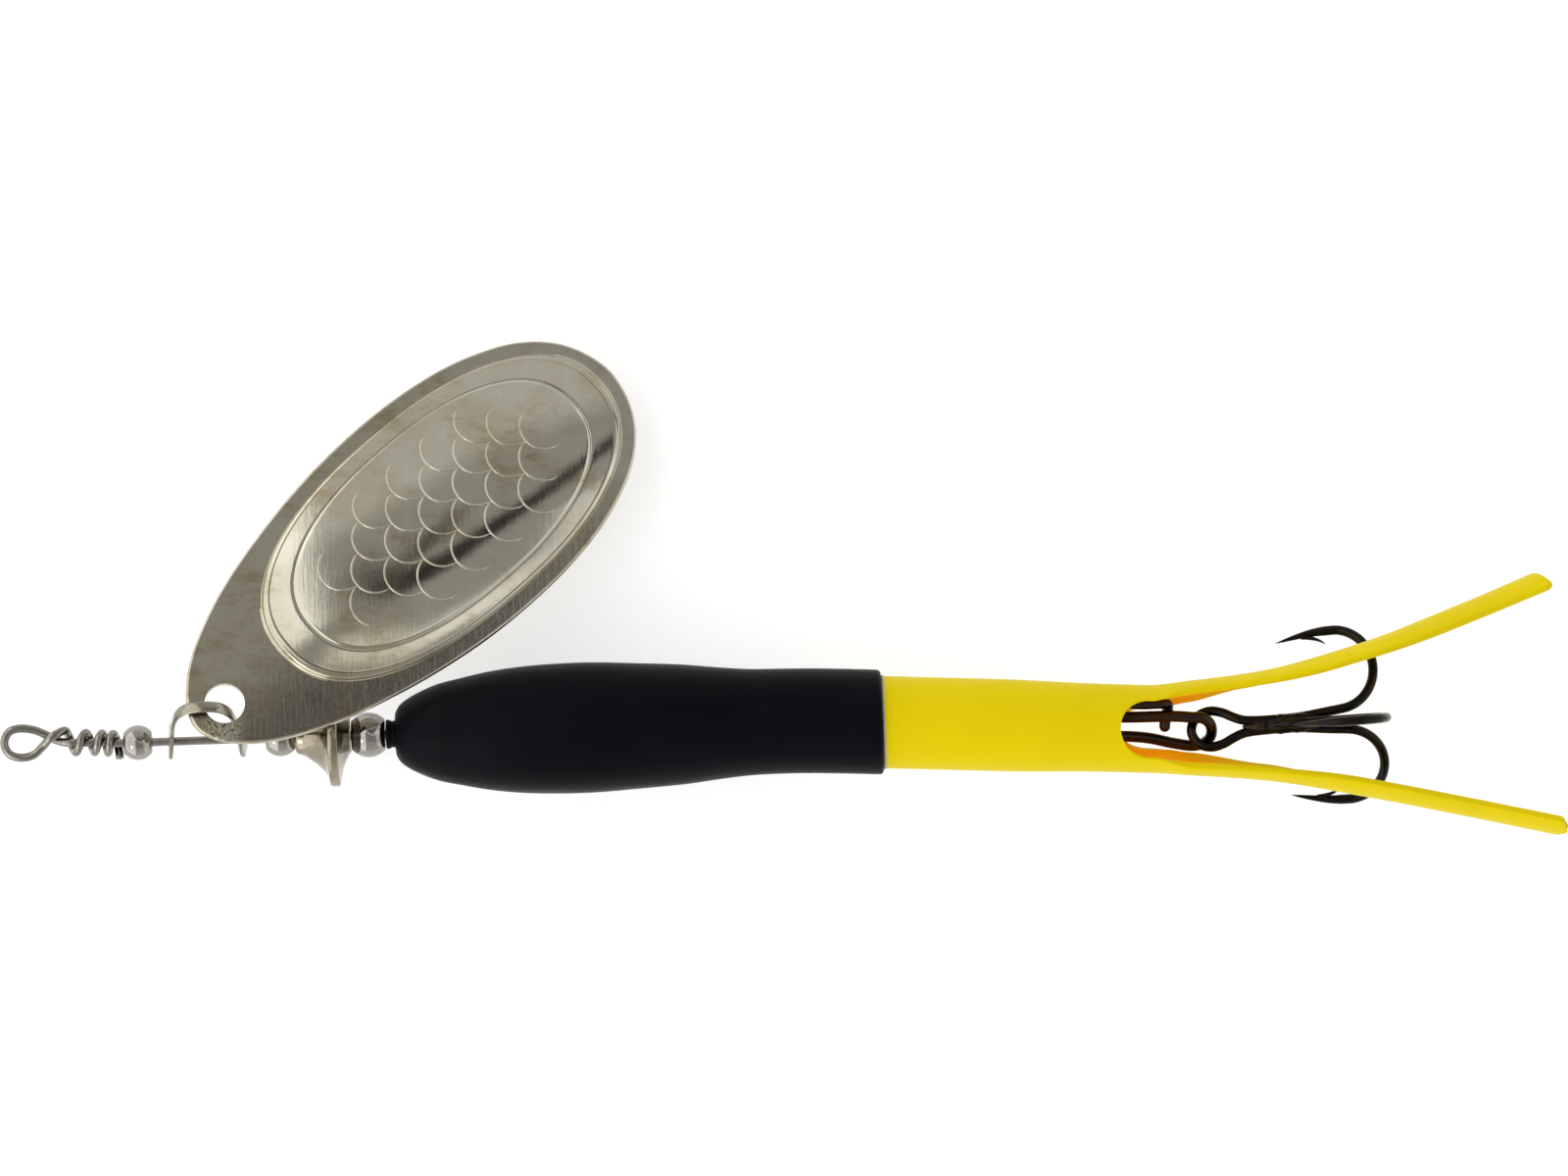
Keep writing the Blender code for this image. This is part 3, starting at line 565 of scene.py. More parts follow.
def make_bead(node):
    """Drilled ball with a broken edge at each flat face."""
    low, high = (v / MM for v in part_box(node))
    radius = (high.z - low.z) / 2
    centre = BEAD_CENTRES[node]
    x0, x1 = low.x, high.x
    edge = 0.06
    a0 = math.acos((x0 + edge - centre) / radius)
    a1 = math.acos((x1 - edge - centre) / radius)
    r0, r1 = radius * math.sin(a0), radius * math.sin(a1)
    profile = [(x0 + 0.12, BORE_R), (x0 + 0.03, BORE_R + 0.03), (x0, BORE_R + 0.12),
               (x0, r0 - 0.12), (x0 + 0.02, r0 - 0.03)]
    steps = 48
    for k in range(steps + 1):
        ang = a0 + (a1 - a0) * k / steps
        profile.append((centre + radius * math.cos(ang), radius * math.sin(ang)))
    profile += [(x1 - 0.02, r1 - 0.03), (x1, r1 - 0.12), (x1, BORE_R + 0.12),
                (x1 - 0.03, BORE_R + 0.03), (x1 - 0.12, BORE_R)]
    put(node + "_ball", revolve(profile), node, [node], BEAD)


def make_collar():
    flare = [(27.95, 1.72), (28.55, 1.93), (29.30, 2.45), (30.08, 3.12), (30.70, 3.82), (31.00, 4.45),
             (31.12, 4.93)]
    rim = arc((31.34, 4.95), 0.22, 180, 100, 6)
    rim += [(31.72, 5.19)] + arc((31.95, 4.93), 0.24, 80, -5, 6)
    back = [(32.23, 4.60), (32.55, 3.25), (32.88, 2.42), (33.18, 1.84)]
    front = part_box("bearing_bead")[1].x / MM + BEARING_GAP
    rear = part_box("rear_bead")[0].x / MM - BEARING_GAP
    profile = [(front + 0.12, BORE_R), (front + 0.02, BORE_R + 0.08), (front, 0.70), (front, 1.45),
               (front + 0.06, 1.62)]
    profile += flat_spline(flare, 0.12) + rim + flat_spline(back, 0.12)
    profile += [(rear, 1.76), (rear, 0.66), (rear - 0.10, BORE_R)]
    put("bell_collar_turned", revolve(profile), "bell_collar", ["bell_collar"], COLLAR_METAL, 50.0)


# ---- clevis

def clevis_place(x, s, across):
    """Point of the clevis: x along the wire, s up its tilted plane, across that plane."""
    c, sn = math.cos(CLEVIS_TILT), math.sin(CLEVIS_TILT)
    return Vector((x, s * c - across * sn, s * sn + across * c))


def make_clevis():
    """Strip with holed flat legs and a rounder, narrower bow."""
    ends = [(14.72, -CLEVIS_LEG_R), (14.84, -0.9), (14.95, 0.0), (15.06, 0.9), (15.20, 1.9),
            (15.60, 4.8), (16.12, 6.7), (17.0, 7.92), (18.2, 8.40), (19.4, CLEVIS_TOP),
            (20.5, 8.05), (21.3, 7.0), (21.68, 5.4), (22.0, 1.9), (22.12, 0.9), (22.22, 0.0),
            (22.32, -0.9), (22.42, -CLEVIS_LEG_R)]
    pts = spline([(x, s, 0) for x, s in ends], 0.11)
    rings = []
    for i, p in enumerate(pts):
        t = (pts[min(i + 1, len(pts) - 1)] - pts[max(i - 1, 0)]).normalized()
        nrm = Vector((-t.y, t.x, 0))
        s = p.y
        leg = math.sqrt(max(CLEVIS_LEG_R ** 2 - s * s, 0.02)) if s < CLEVIS_LEG_R else 0.0
        half = math.sqrt(leg ** 2 + CLEVIS_BOW_W ** 2) if s > 0.9 else leg
        half = max(half, CLEVIS_BOW_W) if s > 0 else leg
        half = min(half, CLEVIS_LEG_R)
        # the bow's section is an oval, the legs are flat plates
        power = 2 / (2.3 + 4.7 * smooth((4.5 - s) / 2.5))
        ring = []
        for k in range(CLEVIS_SIDES):
            ang = 2 * math.pi * (k + 0.5) / CLEVIS_SIDES
            c, sn = math.cos(ang), math.sin(ang)
            across = math.copysign(half * abs(c) ** power, c)
            q = p + nrm * math.copysign(CLEVIS_T / 2 * abs(sn) ** power, sn)
            ring.append(clevis_place(q.x, q.y, across))
        rings.append(ring)
    obj = put("clevis_strip", loft(rings), "clevis", ["clevis"], STRIP, 50.0)
    bore = bmesh.new()
    place = Matrix.Translation((CLEVIS_MID, 0, 0)) @ Matrix.Rotation(math.pi / 2, 4, "Y")
    bmesh.ops.create_cone(bore, cap_ends=True, segments=48, radius1=BORE_R + 0.02,
                          radius2=BORE_R + 0.02, depth=10.0, matrix=place)
    cut_out(obj, bore)


def cut_out(obj, bm):
    """Cuts the body bm, in mm, out of obj and applies the cut."""
    bmesh.ops.scale(bm, verts=bm.verts, vec=(MM, MM, MM))
    cutter = add_object("cutter", to_mesh("cutter", bm))
    mod = obj.modifiers.new("cut", "BOOLEAN")
    mod.operation = "DIFFERENCE"
    mod.solver = "EXACT"
    mod.object = cutter
    bpy.context.view_layer.update()
    done = bpy.data.meshes.new_from_object(obj.evaluated_get(bpy.context.evaluated_depsgraph_get()))
    obj.modifiers.clear()
    obj.data = done
    bpy.data.objects.remove(cutter)
    done.set_sharp_from_angle(angle=math.radians(50))


# ---- blade

def blade_frame():
    ea = Vector((math.cos(BLADE_YAW), math.sin(BLADE_YAW), 0))
    eb = Vector((-math.sin(BLADE_YAW), math.cos(BLADE_YAW), 0))
    up = (Vector((0, 0, 1)) - ea * BLADE_FALL - eb * BLADE_ROLL).normalized()
    e1 = (ea + Vector((0, 0, BLADE_FALL))).normalized()
    e2 = up.cross(e1).normalized()
    place = Matrix((e1, e2, up)).transposed().to_4x4()
    place.translation = Vector(BLADE_HOLE)
    return place


def oval_size(x, y):
    """Size of the panel's oval through a point; 1 is the panel's edge."""
    mid, length, width, power = PANEL
    return ((abs(x - mid) / length) ** power + (abs(y) / width) ** power) ** (1 / power)


def blade_height(x, y, half):
    """Flat lip, crisp step, domed panel with a fine oval groove."""
    x0, x1 = BLADE_OUTLINE[0][0], BLADE_OUTLINE[-1][0]
    along = (2 * x - x0 - x1) / (x1 - x0)
    wide = 0.4
    for a, b in zip(half, half[1:]):
        if a.x <= x <= b.x:
            wide = max(a.y + (b.y - a.y) * (x - a.x) / max(b.x - a.x, 1e-6), 0.4)
            break
    across = min(abs(y) / wide, 1.0)
    lip = BLADE_LIP * max(1 - abs(along) ** 4, 0.0) * (1 - across ** 2)
    oval = oval_size(x, y)
    if oval >= 1.0:
        return lip
    groove = GROOVE_DEPTH * math.exp(-((oval - GROOVE_AT) / GROOVE_WIDTH) ** 2)
    bead = BEAD_HEIGHT * math.exp(-((oval - BEAD_AT) / BEAD_WIDTH) ** 2)
    step = PANEL_STEP * smooth((1.0 - oval) / 0.020)
    return lip + step + PANEL_DOME * (1.0 - oval ** DOME_POWER) - groove + bead


def oval_point(angle, size):
    mid, length, width, power = PANEL
    c, s = math.cos(angle), math.sin(angle)
    r = size / (abs(c / length) ** power + abs(s / width) ** power) ** (1 / power)
    return Vector((mid + r * c, r * s, 0))


def make_blade():
    """Rings that follow the outline outside and the panel's oval inside."""
    ends = [(BLADE_OUTLINE[k][0], -BLADE_OUTLINE[k][1]) for k in (1, -2)]
    full = spline([(x, y, 0) for x, y in ends[:1] + BLADE_OUTLINE + ends[1:]], 0.30)
    half = [p for p in full if p.y > 1e-6]
    half = [Vector((BLADE_OUTLINE[0][0], 0, 0))] + half + [Vector((BLADE_OUTLINE[-1][0], 0, 0))]
    outline = half + [Vector((p.x, -p.y, 0)) for p in half[-2:0:-1]]
    mid = PANEL[0]
    directions = [math.atan2(p.y, p.x - mid) for p in outline]
    rim = [BLADE_EDGE * part for part in (0.0, 0.12, 0.32, 0.60, 1.0)]
    rings = []
    for p, direction in zip(outline, directions):
        border = oval_point(direction, 1.012)
        length = (p - border).length
        column = [p.lerp(border, min(d / length, 0.9)) for d in rim]
        start = BLADE_EDGE / length
        column += [p.lerp(border, start + (1 - start) * (k / 33) ** 1.35) for k in range(1, 34)]
        column += [oval_point(direction, size) for size in PANEL_SIZES]
        column += [oval_point(direction, PANEL_SIZES[-1] * (1 - k / 24.6)) for k in range(1, 25)]
        rings.append(column)
    count, rows = len(rings), len(rings[0])
    frame_matrix = blade_frame()
    bm = bmesh.new()
    tops, lows = [], []
    drop = [BLADE_T / 2 * (1 - math.sqrt(max(1 - (1 - min(d / BLADE_EDGE, 1)) ** 2, 0))) for d in rim]
    for r in range(rows):
        top, low = [], []
        for c in range(count):
            q = rings[c][r]
            h = blade_height(q.x, q.y, half)
            cut = drop[r] if r < len(rim) else 0.0
            top.append(bm.verts.new(frame_matrix @ Vector((q.x, q.y, h + BLADE_T / 2 - cut))))
            low.append(bm.verts.new(frame_matrix @ Vector((q.x, q.y, h - BLADE_T / 2 + cut))))
        tops.append(top)
        lows.append(low)
    inside = [[rings[c][r].xy.length < BLADE_HOLE_R for c in range(count)] for r in range(rows)]
    for sheet, flip in ((tops, False), (lows, True)):
        for r in range(rows - 1):
            for c in range(count):
                d = (c + 1) % count
                if inside[r][c] or inside[r][d] or inside[r + 1][c] or inside[r + 1][d]:
                    continue
                face = [sheet[r][c], sheet[r][d], sheet[r + 1][d], sheet[r + 1][c]]
                bm.faces.new(face[::-1] if flip else face)
        core = [sheet[rows - 1][c] for c in range(count)]
        bm.faces.new(core[::-1] if flip else core)
    # the hole's ragged edge is drawn onto a true circle, then walled
    where = {tops[r][c]: (r, c) for r in range(rows) for c in range(count)}
    edges = [e for e in bm.edges if len(e.link_faces) == 1 and e.verts[0] in where]
    pulled = set()
    for e in edges:
        for v in e.verts:
            r, c = where[v]
            if r == 0 or v in pulled:
                continue
            pulled.add(v)
            q = rings[c][r].xy.normalized() * BLADE_HOLE_R
            h = blade_height(q.x, q.y, half)
            v.co = frame_matrix @ Vector((q.x, q.y, h + BLADE_T / 2))
            lows[r][c].co = frame_matrix @ Vector((q.x, q.y, h - BLADE_T / 2))
    for e in edges:
        (r0, c0), (r1, c1) = where[e.verts[0]], where[e.verts[1]]
        bm.faces.new((tops[r0][c0], tops[r1][c1], lows[r1][c1], lows[r0][c0]))
    loose = [v for v in bm.verts if not v.link_faces]
    bmesh.ops.delete(bm, geom=loose, context="VERTS")
    put("blade_spoon", bm, "blade", ["blade"], NICKEL, 32.0)
    make_relief(half, frame_matrix)


def make_relief(half, place):
    """Plain fish-scale arcs pressed up out of the panel."""
    scales = bmesh.new()
    lift = BLADE_T / 2 - 0.02

    def on_blade(x, y):
        return place @ Vector((x, y, blade_height(x, y, half) + lift))

    count = 32
    radii = [0.03 + 0.085 * smooth(min(k, count - k) / 4) for k in range(count + 1)]
    for row in range(14):
        x = SCALE_START + row * SCALE_R * 0.94
        for lane in (-2, 0, 2) if row % 2 else (-3, -1, 1, 3):
            y = lane * SCALE_R
            if oval_size(x - SCALE_R * 0.6, abs(y) + SCALE_R * 0.8) > 0.70:
                continue
            path = arc((x, y), SCALE_R, 93, 267, count, on_blade)
            absorb(scales, wire(path, radii, 8))
    put("blade_relief", scales, "blade", [], NICKEL, 60.0, slot="blade")


# ---- body

def sleeve_radius(x):
    for (xa, ra), (xb, rb) in zip(SLEEVE, SLEEVE[1:]):
        if xa <= x <= xb:
            return ra + (rb - ra) * (x - xa) / (xb - xa)
    return SLEEVE[-1][1]


def make_sleeve():
    """Pulled-on sleeve: rolled front lip, smooth belly, thin open end."""
    lip = arc((37.08, 1.36), 0.15, 200, 80, 6)
    neck = [(37.30, 1.47), (37.45, 1.37), (37.62, 1.34), (37.80, 1.40), (37.88, 1.62)]
    outer = lip + neck + flat_spline(SLEEVE[3:], 0.45)
    outer += [(87.15, 5.355), (87.28, 5.33), (87.40, 5.26), (87.50, 5.14), (87.56, 5.02), (87.58, 4.90)]
    inner = [(x, TUBE_R + 0.10) for x in (87.54, 87.0, 84.0, 81.0, 78.0, 75.0, 73.0)]
    inner += [(x, sleeve_radius(x) - SLEEVE_WALL) for x in (67.5, 62.5, 58.0, 54.0, 50.5, 47.5,
                                                          44.5, 42.2, 40.4)]
    inner += [(39.35, 2.70), (38.80, 1.90), (38.55, BORE_R + 0.15), (37.0, BORE_R + 0.15),
              (36.93, BORE_R + 0.25)]
    skin = revolve(outer + inner, bend=True, segs=BODY_SEGS)
    put("sleeve_skin", skin, "wire", ["head_sleeve"], BLACK, 45.0)


def make_weight():
    """Turned weight that fills the sleeve, with a barbed stub for the tube."""
    gap = SLEEVE_WALL + 0.10
    outer = [(39.05, BORE_R), (38.95, BORE_R + 0.1), (38.95, 1.65), (39.02, 1.75), (39.50, 2.60)]
    stations = (40.6, 42.2, 44.5, 47.5, 50.5, 54.0, 58.0, 62.5)
    outer += flat_spline([(x, sleeve_radius(x) - gap) for x in stations], 0.8)
    outer += [(WEIGHT_END - 0.15, 5.32), (WEIGHT_END, 5.20), (WEIGHT_END, STUB_R)]
    x = WEIGHT_END
    while x < STUB_END - 1.2:
        outer += [(x + 0.35, STUB_R), (x + 0.6, STUB_R - 0.12), (x + 0.85, STUB_R)]
        x += 1.2
    outer += [(STUB_END, STUB_R), (STUB_END + 0.5, 3.3), (STUB_END + 0.5, BORE_R + 0.1),
              (STUB_END + 0.4, BORE_R)]
    put("weight_core", revolve(outer, segs=96), "wire", ["body_weight"], BRASS, 35.0)


def tube_radius(x):
    return TUBE_R - TUBE_NECK * smooth((x - 99.0) / 12.0)


def make_tube():
    count = 90
    xs = [TUBE_START + (TUBE_SEAM - TUBE_START) * k / count for k in range(1, count + 1)]
    profile = [(TUBE_START, TUBE_R - TUBE_WALL + 0.1), (TUBE_START, TUBE_R - 0.15),
               (TUBE_START + 0.05, TUBE_R - 0.04)]
    profile += [(x, tube_radius(x)) for x in xs]
    profile += [(x, tube_radius(x) - TUBE_WALL) for x in xs[::-1]]
    bm = revolve(profile, bend=True, segs=BODY_SEGS)
    for k, face in enumerate(bm.faces):
        face.material_index = 1 if k // BODY_SEGS > count + 2 else 0
    skin = put("tube_skin", bm, "wire", ["tail_tube"], YELLOW, 50.0)
    skin.data.materials.append(YELLOW_IN)
    # painted highlight: pale ring just behind the sleeve's open end
    rim = arc((87.74, TUBE_R + 0.01), 0.12, 200, -20, 10)
    put("tube_joint_highlight", revolve(rim, bend=True, segs=BODY_SEGS), "wire", [], PALE, 50.0, slot="tail_tube")


def form_at(form, x):
    """Section of a tail strip at x, eased between the stations of its form."""
    for low, high in zip(form, form[1:]):
        if x <= high[0]:
            t = smooth((x - low[0]) / (high[0] - low[0]))
            return [math.radians(a + (b - a) * t) for a, b in zip(low[1:], high[1:])]
    return [math.radians(a) for a in form[-1][1:]]


def section(form, x):
    """Outer and inner half angles of the wall above and below, and its twist."""
    outer = TUBE_R - TUBE_NECK
    inner = outer - TUBE_WALL
    top, low, twist = form_at(form, x)
    open_up = smooth((x - SLOT_X) / 3.5)
    sides = []
    for goal, gap in ((top, SLOT_R), (low, SLOT_LOW)):
        width = gap
        if x < SLOT_X:
            width = gap * math.sqrt(max(1 - ((SLOT_X - x) / SLOT_R) ** 2, 0.0))
        out_half, in_half = math.acos(width / outer), math.acos(width / inner)
        sides.append((out_half + (goal - out_half) * open_up, in_half + (goal - in_half) * open_up))
    return sides, twist


def end_shape(across, sign):
    """Cut end: slanted on the upper tail, a blunt point on the lower one."""
    if sign > 0:
        return 0.72 * across
    return -1.25 * abs(across - 0.42) ** 1.4 + 0.35


def make_tail(name, node, path, form, sign):
    """Tail strip that grows out of the tube's wall, with soft cut edges."""
    outer = TUBE_R - TUBE_NECK
    mid = outer - TUBE_WALL / 2
    root = [(x, body_y(x) + sign * mid) for x in (TAIL_START - 3.0, TAIL_START)]
    line = [p for p in spline([(x, y, 0) for x, y in root + path], 0.28) if p.x > TAIL_START]
    fine = []
    x = TUBE_SEAM
    while x < TAIL_START:
        fine.append(Vector((x, body_y(x) + sign * mid, 0)))
        x += 0.03 if x < 112.2 else 0.10
    line = fine + line
    tip = line[-1]
    line = [p for p in line if (tip - p).length > 0.62]
    heading = (tip - line[-1]).normalized()
    line += [tip - heading * left for left in (0.60, 0.45, 0.30, 0.20, 0.12, 0.06, 0.02, 0.0)]
    n = 30
    rings = []
    for i, p in enumerate(line):
        a, b = line[max(i - 1, 0)], line[min(i + 1, len(line) - 1)]
        along = (p.x - TAIL_START) / (TAIL_END - TAIL_START)
        (above, below), twist = section(form, p.x)
        if p.x <= TAIL_START:
            t, out = Vector((1, 0, 0)), Vector((0, sign, 0))
        else:
            t = (b - a).normalized()
            out = Vector((-t.y, t.x, 0)) * sign
        drop = -TAIL_DROP * smooth((along - 0.55) / 0.45)
        radial = out * math.cos(twist) + Vector((0, 0, 1)) * math.sin(twist)
        rise = Vector((0, 0, 1)) * math.cos(twist) - out * math.sin(twist)
        centre = Vector((p.x, p.y, drop)) - radial * mid
        left = (tip - p).length
        blunt = math.sqrt(max(1 - max(1 - left / 0.30, 0.0) ** 2, 0.0))
        taper = 1.0 - 0.16 * max(1 - left / 0.60, 0.0) ** 2
        half_wall = TUBE_WALL / 2 * (0.62 + 0.38 * blunt)
        edge = 0.17 * min(1.0, max(p.x - 111.75, 0.0) / 0.5)
        r_out, r_in = mid + half_wall, mid - half_wall
        up_out, up_in, low_out, low_in = (v * taper for v in above + below)
        nick = edge * 0.30
        ring = [(r_out, -low_out + edge / r_out + (low_out + up_out - 2 * edge / r_out) * k / n)
                for k in range(n + 1)]
        ring += [(r_out - nick, up_out - nick / r_out), (r_out - edge, up_out),
                 (r_in + edge, up_in), (r_in + nick, up_in - nick / r_in)]
        ring += [(r_in, up_in - edge / r_in - (low_in + up_in - 2 * edge / r_in) * k / n)
                 for k in range(n + 1)]
        ring += [(r_in + nick, -low_in + nick / r_in), (r_in + edge, -low_in),
                 (r_out - edge, -low_out), (r_out - nick, -low_out + nick / r_out)]
        reach = smooth(1 - left / 3.5)
        rings.append([centre + (radial * math.cos(g) + rise * math.sin(g)) * r
                      + t * (reach * end_shape(g / up_out, sign)) for r, g in ring])
    bm = loft(rings)
    bm.faces.ensure_lookup_table()
    count = len(rings[0])
    for i in range(len(rings) - 1):
        for k in range(n + 3, 2 * n + 6):
            bm.faces[i * count + k].material_index = 1
    obj = put(name, bm, None, [node], YELLOW, 50.0)
    obj.data.materials.append(YELLOW_IN)
    y0 = body_y(SLOT_X) + sign * 3.8
    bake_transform(obj)


# ---- clip and treble

def make_clip():
    front = arc((104.6, -0.75), 2.25, 80, 280, 10, lambda a, b: (a, b, -0.05))
    end = [(120.25, -3.78, -1.80), (120.95, -3.22, -1.30), CLIP_END,
           (120.95, -1.72, 0.0), (120.25, -1.16, 0.50)]
    path = [(116.35, -2.45, -0.82), (116.45, -1.3, -0.80), (116.65, -0.55, -0.70),
            (116.75, 0.12, -0.30), (116.55, 0.45, 0.22), (115.7, 0.52, 0.42), (114.0, 0.52, 0.30),
            (109.5, 1.05, 0.15), (106.2, 1.42, 0.0)]
    path += front
    path += [(106.6, -2.85, -0.25), (111.5, -2.72, -1.10), (114.6, -3.00, -1.62),
             (117.4, -3.66, -1.92), (119.2, -3.94, -1.98)]
    path += end
    path += [(119.2, -1.03, 0.64), (117.4, -0.86, 0.56), (113.0, -0.80, 0.30), (108.0, -0.62, 0.10)]
    put("clip_wire", cut_wire(spline(path, 0.16), CLIP_R, dome=True), "clip", ["rear_clip"], BRONZE)


def treble_axis(x):
    return (TREBLE_EYE[1] + TREBLE_SLOPE * (x - TREBLE_EYE[0]),
            TREBLE_EYE[2] + TREBLE_RISE * (x - TREBLE_EYE[0]))


def hook_place(angle):
    """(x, distance from the treble's axis) in one hook's plane to 3-D."""
    ca, sa = math.cos(math.radians(angle)), math.sin(math.radians(angle))

    def place(x, r):
        axis_y, axis_z = treble_axis(x)
        return Vector((x - (TREBLE_SLOPE * ca + TREBLE_RISE * sa) * r, axis_y + r * ca,
                       axis_z + r * sa))
    return place


def hook_points(angle, reach):
    """Hook from its point round the bend to the shank."""
    place = hook_place(angle)
    x0 = BEND_X + reach
    tip = [place(128.3 + reach, 9.18), place(128.95 + reach, 9.36), place(130.0 + reach, 9.64),
           place(132.0 + reach, 10.08)]
    bend = []
    for k in range(13):
        ang = math.radians(96 - 172 * k / 12)
        bend.append(place(x0 + BEND_LONG * math.cos(ang), BEND_MID + BEND_RAD * math.sin(ang)))
    shank = [place(132.9, 1.02), place(130.8, 0.72), place(129.4, SHANK_OFF)]
    return tip, bend + shank


def point_radius(distance):
    """Ground point: radius of the wire at a distance from its tip."""
    return max(0.02, HOOK_R * min(1.0, distance / POINT_LENGTH) ** 0.68)


def eye_points():
    pts = []
    outline = [(126.0, 0.54, 12), (124.6, 0.64, 4), (123.4, 1.05, -7), (122.3, 1.60, -12),
               (121.1, 1.86, -14), (120.0, 1.55, -14), (119.35, 0.88, -14)]
    for sign in (1, -1):
        side = []
        for x, w, twist in outline:
            ang = math.radians(3.0 + twist)
            y, z = treble_axis(x)
            drop = -0.29 * smooth((x - 123.0) / 3.2)
            side.append(Vector((x, y + sign * w * math.cos(ang), z + drop
                                + sign * w * math.sin(ang))))
        pts.append(side)
    apex = Vector((119.08, TREBLE_EYE[1] - 0.08, TREBLE_EYE[2]))
    return pts[0] + [apex] + pts[1][::-1]


def tapered(path, end_length=POINT_LENGTH):
    """Radii along a wire that is ground to a point at both ends."""
    lengths = [0.0]
    for a, b in zip(path, path[1:]):
        lengths.append(lengths[-1] + (b - a).length)
    return [min(point_radius(s), point_radius((lengths[-1] - s) * POINT_LENGTH / end_length))
            for s in lengths]


def add_barb(bm, angle, reach):
    """Barb cut up out of the inside of the point."""
    place = hook_place(angle)
    path = [place(x + reach, r) for x, r in ((131.0, 9.72), (131.9, 9.52), (132.8, 9.18),
                                             (133.45, 8.72))]
    path = spline(path, 0.15)
    last = len(path) - 1
    radii = [BARB_R * (0.9 * (1 - k / last) ** 0.6 + 0.04) for k in range(last + 1)]
    absorb(bm, wire(path, radii, BARB_SIDES))


def make_treble():
    tip_a, rest_a = hook_points(*HOOKS[0])
    tip_b, rest_b = hook_points(*HOOKS[1])
    path = spline(tip_a + rest_a + eye_points()[1:-1] + rest_b[::-1] + tip_b[::-1], 0.17)
    double = wire(path, tapered(path))
    add_barb(double, *HOOKS[0])
    add_barb(double, *HOOKS[1])
    put("treble_pair_wire", double, "treble", ["treble_double_hook"], HOOK_METAL)
    tip, rest = hook_points(*HOOKS[2])
    place = hook_place(HOOKS[2][0])
    path = spline(tip + rest + [place(128.4, 0.52), place(127.4, 0.34), place(126.5, 0.18)], 0.17)
    single = wire(path, tapered(path, POINT_LENGTH / 2))
    add_barb(single, *HOOKS[2])
    put("treble_third_wire", single, "treble", ["treble_single_hook"], HOOK_METAL)
    make_solder()


def make_solder():
    """Solder that fills the shank between the wires, lumpy and drawn out at both ends."""
    stations = [(124.3, 0.05), (124.8, 0.38), (125.5, 0.64), (126.5, 0.78), (127.8, 0.86), (129.2, 0.90),
                (130.6, 0.84), (131.8, 0.62), (132.7, 0.32), (133.3, 0.05)]
    rows = spline([(x, r, 0) for x, r in stations], 0.18)
    turns = [2 * math.pi * k / SOLDER_SIDES for k in range(SOLDER_SIDES)]
    rings = []
    for p in rows:
        y, z = treble_axis(p.x)
        drop = -0.24 * (1 - smooth((p.x - 126.5) / 2.5))
        lump = 1.0 + 0.05 * math.sin(p.x * 3.1) + 0.03 * math.sin(p.x * 7.7 + 1.0)
        r = max(p.y, 0.03) * lump
        rings.append([Vector((p.x, y + r * 1.12 * math.cos(ang), z + drop + r * 0.82 * math.sin(ang)))
                      for ang in turns])
    put("treble_solder", loft(rings), "treble", [], SOLDER, 60.0, slot="treble_double_hook")


# ---- floor, light, camera

FLOOR_MIDDLE, FLOOR_HALF = (0.078, 0.014), 1.5
FLOOR_DROP = 4.2         # mm, room for the treble at the end of its swing

# the tent by direction: axis, from, to, softness, strength
ROOF, SIDE_GLOW, LOW_BOX = 0.50, 0.20, 1.0
BOXES = (("slant", -2.0, 0.100, 0.018, 1.25), ("X", 0.61, 1.2, 0.03, 0.60),
         ("Y", -1.2, -0.58, 0.06, 0.27), ("Y", 0.62, 1.2, 0.06, 0.30))
SLANT, SLANT_FRONT = 0.62, 0.32          # slope of the left box's edge, and its step at the front
LOW_SIDES = (-0.02, 0.56, 0.03)
LOW_FRONT, LOW_BACK = (-0.057, -0.033), (0.085, -0.015)
LOW_BEND, LOW_SLOPE = 0.3, 0.6           # where the low box bends away, and how steeply
GAP, GAP_DARK = (0.262, 0.350, 0.022), 0.90
GAP_BOW, GAP_MID = 1.45, 0.24            # how the dark gap curves away on both sides of a middle
SPOT, SPOT_DARK = (("X", 0.082, 0.16, 0.010), ("Y", 0.395, 0.472, 0.008)), 0.85

# camera
SENSOR, LENS = 36.0, 200.0               # mm
VIEW_MIDDLE, VIEW_WIDTH, VIEW_TURN = (0.0780, 0.01356), 0.160, -1.924


def soft_light(name, place, aim, size, power):
    data = bpy.data.lights.new(name, "AREA")
    data.shape = "RECTANGLE"
    data.size, data.size_y = size
    data.energy = power
    obj = add_object(name, data)
    obj.location = place
    obj.rotation_euler = (Vector(aim) - Vector(place)).to_track_quat("-Z", "Y").to_euler()


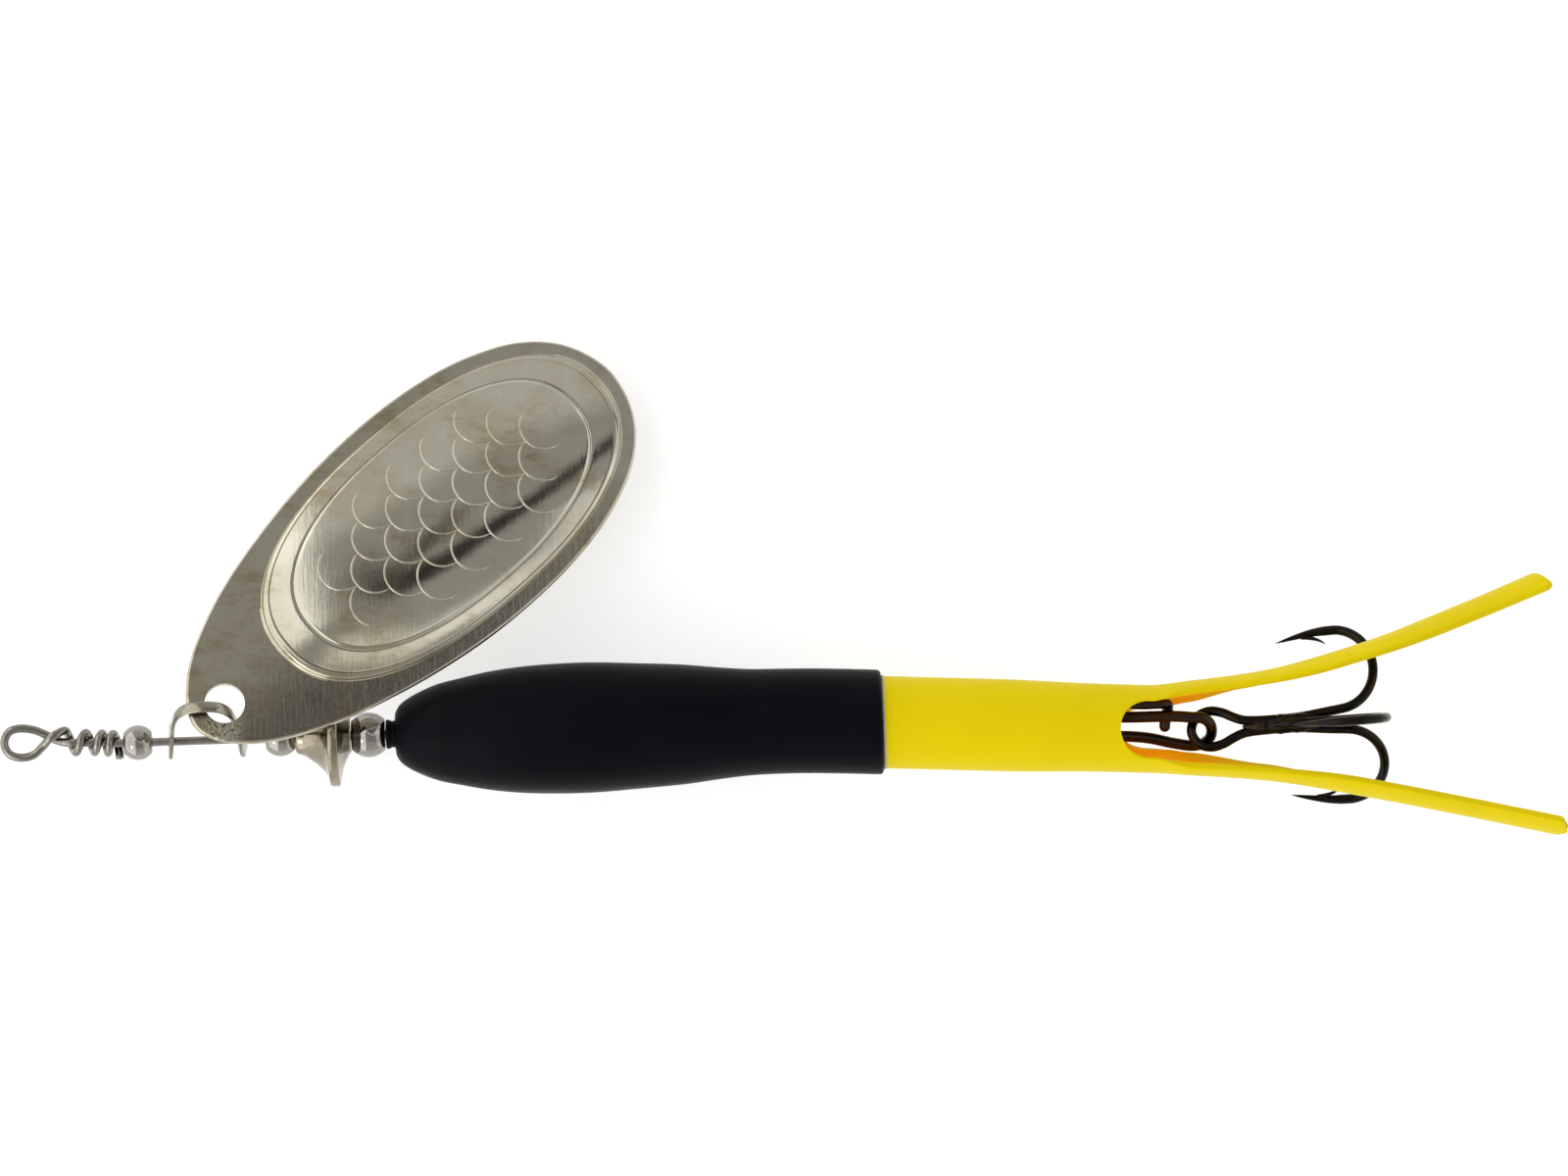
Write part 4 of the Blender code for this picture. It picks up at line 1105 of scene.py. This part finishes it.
def make_world():
    """Studio tent painted by direction: grey roof, bright boxes round it, a dark gap and spot."""
    world = bpy.data.worlds.new("tent")
    world.use_nodes = True
    bpy.context.scene.world = world
    sky = Nodes(world.node_tree)
    split = sky.node("ShaderNodeSeparateXYZ")
    sky.link(sky.node("ShaderNodeTexCoord").outputs["Generated"], split.inputs[0])

    def times(first, *others):
        for other in others:
            first = sky.maths("MULTIPLY", first, other)
        return first

    def ease(value, low, high):
        """0 at low and 1 at high; low may be the larger one."""
        made = sky.node("ShaderNodeMapRange", interpolation_type="SMOOTHSTEP")
        sky.link(value, made.inputs["Value"])
        made.inputs["From Min"].default_value = low
        made.inputs["From Max"].default_value = high
        return made.outputs["Result"]

    def between(value, low, high, soft):
        return times(ease(value, low - soft, low + soft),
                     sky.maths("SUBTRACT", 1.0, ease(value, high - soft, high + soft)))

    def darkened(glow, part, strength):
        return times(glow, sky.maths("SUBTRACT", 1.0, times(part, strength)))

    axes = {name: split.outputs[name] for name in "XYZ"}
    upward = ease(axes["Z"], 0.1, 0.4)
    # the left box has a slanted edge towards the back and ends further out at the front
    slant = sky.maths("ADD", axes["X"], times(sky.maths("MAXIMUM", axes["Y"], 0.0), SLANT))
    axes["slant"] = sky.maths("ADD", slant, times(ease(axes["Y"], 0.33, 0.15), SLANT_FRONT))
    glow = sky.maths("ADD", ROOF, times(ease(axes["Z"], 0.55, 0.10), SIDE_GLOW))
    for axis, *span, power in BOXES:
        glow = sky.maths("ADD", glow, times(between(axes[axis], *span), power))
    # a low box in front of the gap, whose back edge bends away at the left
    away = sky.maths("MAXIMUM", sky.maths("SUBTRACT", LOW_BEND, axes["X"]), 0.0)
    low = sky.maths("SUBTRACT", axes["Y"], times(away, LOW_SLOPE))
    low = times(ease(low, *LOW_BACK), ease(low, *LOW_FRONT), between(axes["X"], *LOW_SIDES), upward)
    glow = sky.maths("ADD", glow, times(low, LOW_BOX))
    # the dark gap bows, and fades out at the left; a dark spot lies beyond its end
    off = sky.maths("SUBTRACT", axes["X"], GAP_MID)
    bowed = sky.maths("SUBTRACT", axes["Y"], times(off, off, GAP_BOW))
    gap = times(between(bowed, *GAP), ease(axes["X"], -0.16, 0.06), upward)
    spot = times(*(between(axes[axis], *span) for axis, *span in SPOT))
    glow = darkened(darkened(glow, gap, GAP_DARK), spot, SPOT_DARK)
    back = sky.tree.nodes["Background"]
    back.inputs["Color"].default_value = (1.0, 0.995, 0.975, 1)
    sky.link(glow, back.inputs["Strength"])


def make_stage():
    bm = bmesh.new()
    bmesh.ops.create_grid(bm, x_segments=1, y_segments=1, size=FLOOR_HALF)
    mesh = to_mesh("floor", bm)
    floor = add_object("floor", mesh)
    floor.location = (*FLOOR_MIDDLE, CAD_LOW.z - FLOOR_DROP * MM)
    look = Look("floor_white", 0.9, 0.0, Specular_IOR_Level=0.0)
    look.shader.inputs["Base Color"].default_value = (0.62, 0.62, 0.62, 1)
    look.shader.inputs["Emission Color"].default_value = (1, 1, 1, 1)
    look.shader.inputs["Emission Strength"].default_value = 0.52
    mesh.materials.append(look.mat)
    soft_light("left_box", (-0.40, -0.30, 0.45), (0.03, 0.01, 0), (0.22, 0.22), 0.45)
    soft_light("right_box", (0.50, 0.12, 0.40), (0.08, 0.01, 0), (0.16, 0.35), 0.09)
    make_world()


def make_camera():
    """Straight down on the lure, turned so that the wire climbs to the right."""
    data = bpy.data.cameras.new("camera")
    data.type = "PERSP"
    data.sensor_width = SENSOR
    data.lens = LENS
    data.clip_start, data.clip_end = 0.05, 10.0
    cam = add_object("camera", data)
    cam.location = (*VIEW_MIDDLE, VIEW_WIDTH * LENS / SENSOR)
    cam.rotation_euler = (0.0, 0.0, math.radians(VIEW_TURN))
    bpy.context.scene.camera = cam


def main():
    make_camera()
    make_stage()
    make_shaft()
    for node in BEAD_CENTRES:
        make_bead(node)
    make_collar()
    make_clevis()
    make_blade()
    make_weight()
    make_sleeve()
    make_tube()
    make_tail("upper_tail_strip", "upper_tail", UPPER_PATH, UPPER_FORM, 1)
    make_tail("lower_tail_strip", "lower_tail", LOWER_PATH, LOWER_FORM, -1)
    make_clip()
    make_treble()
    bpy.context.scene.view_settings.view_transform = "Standard"


main()
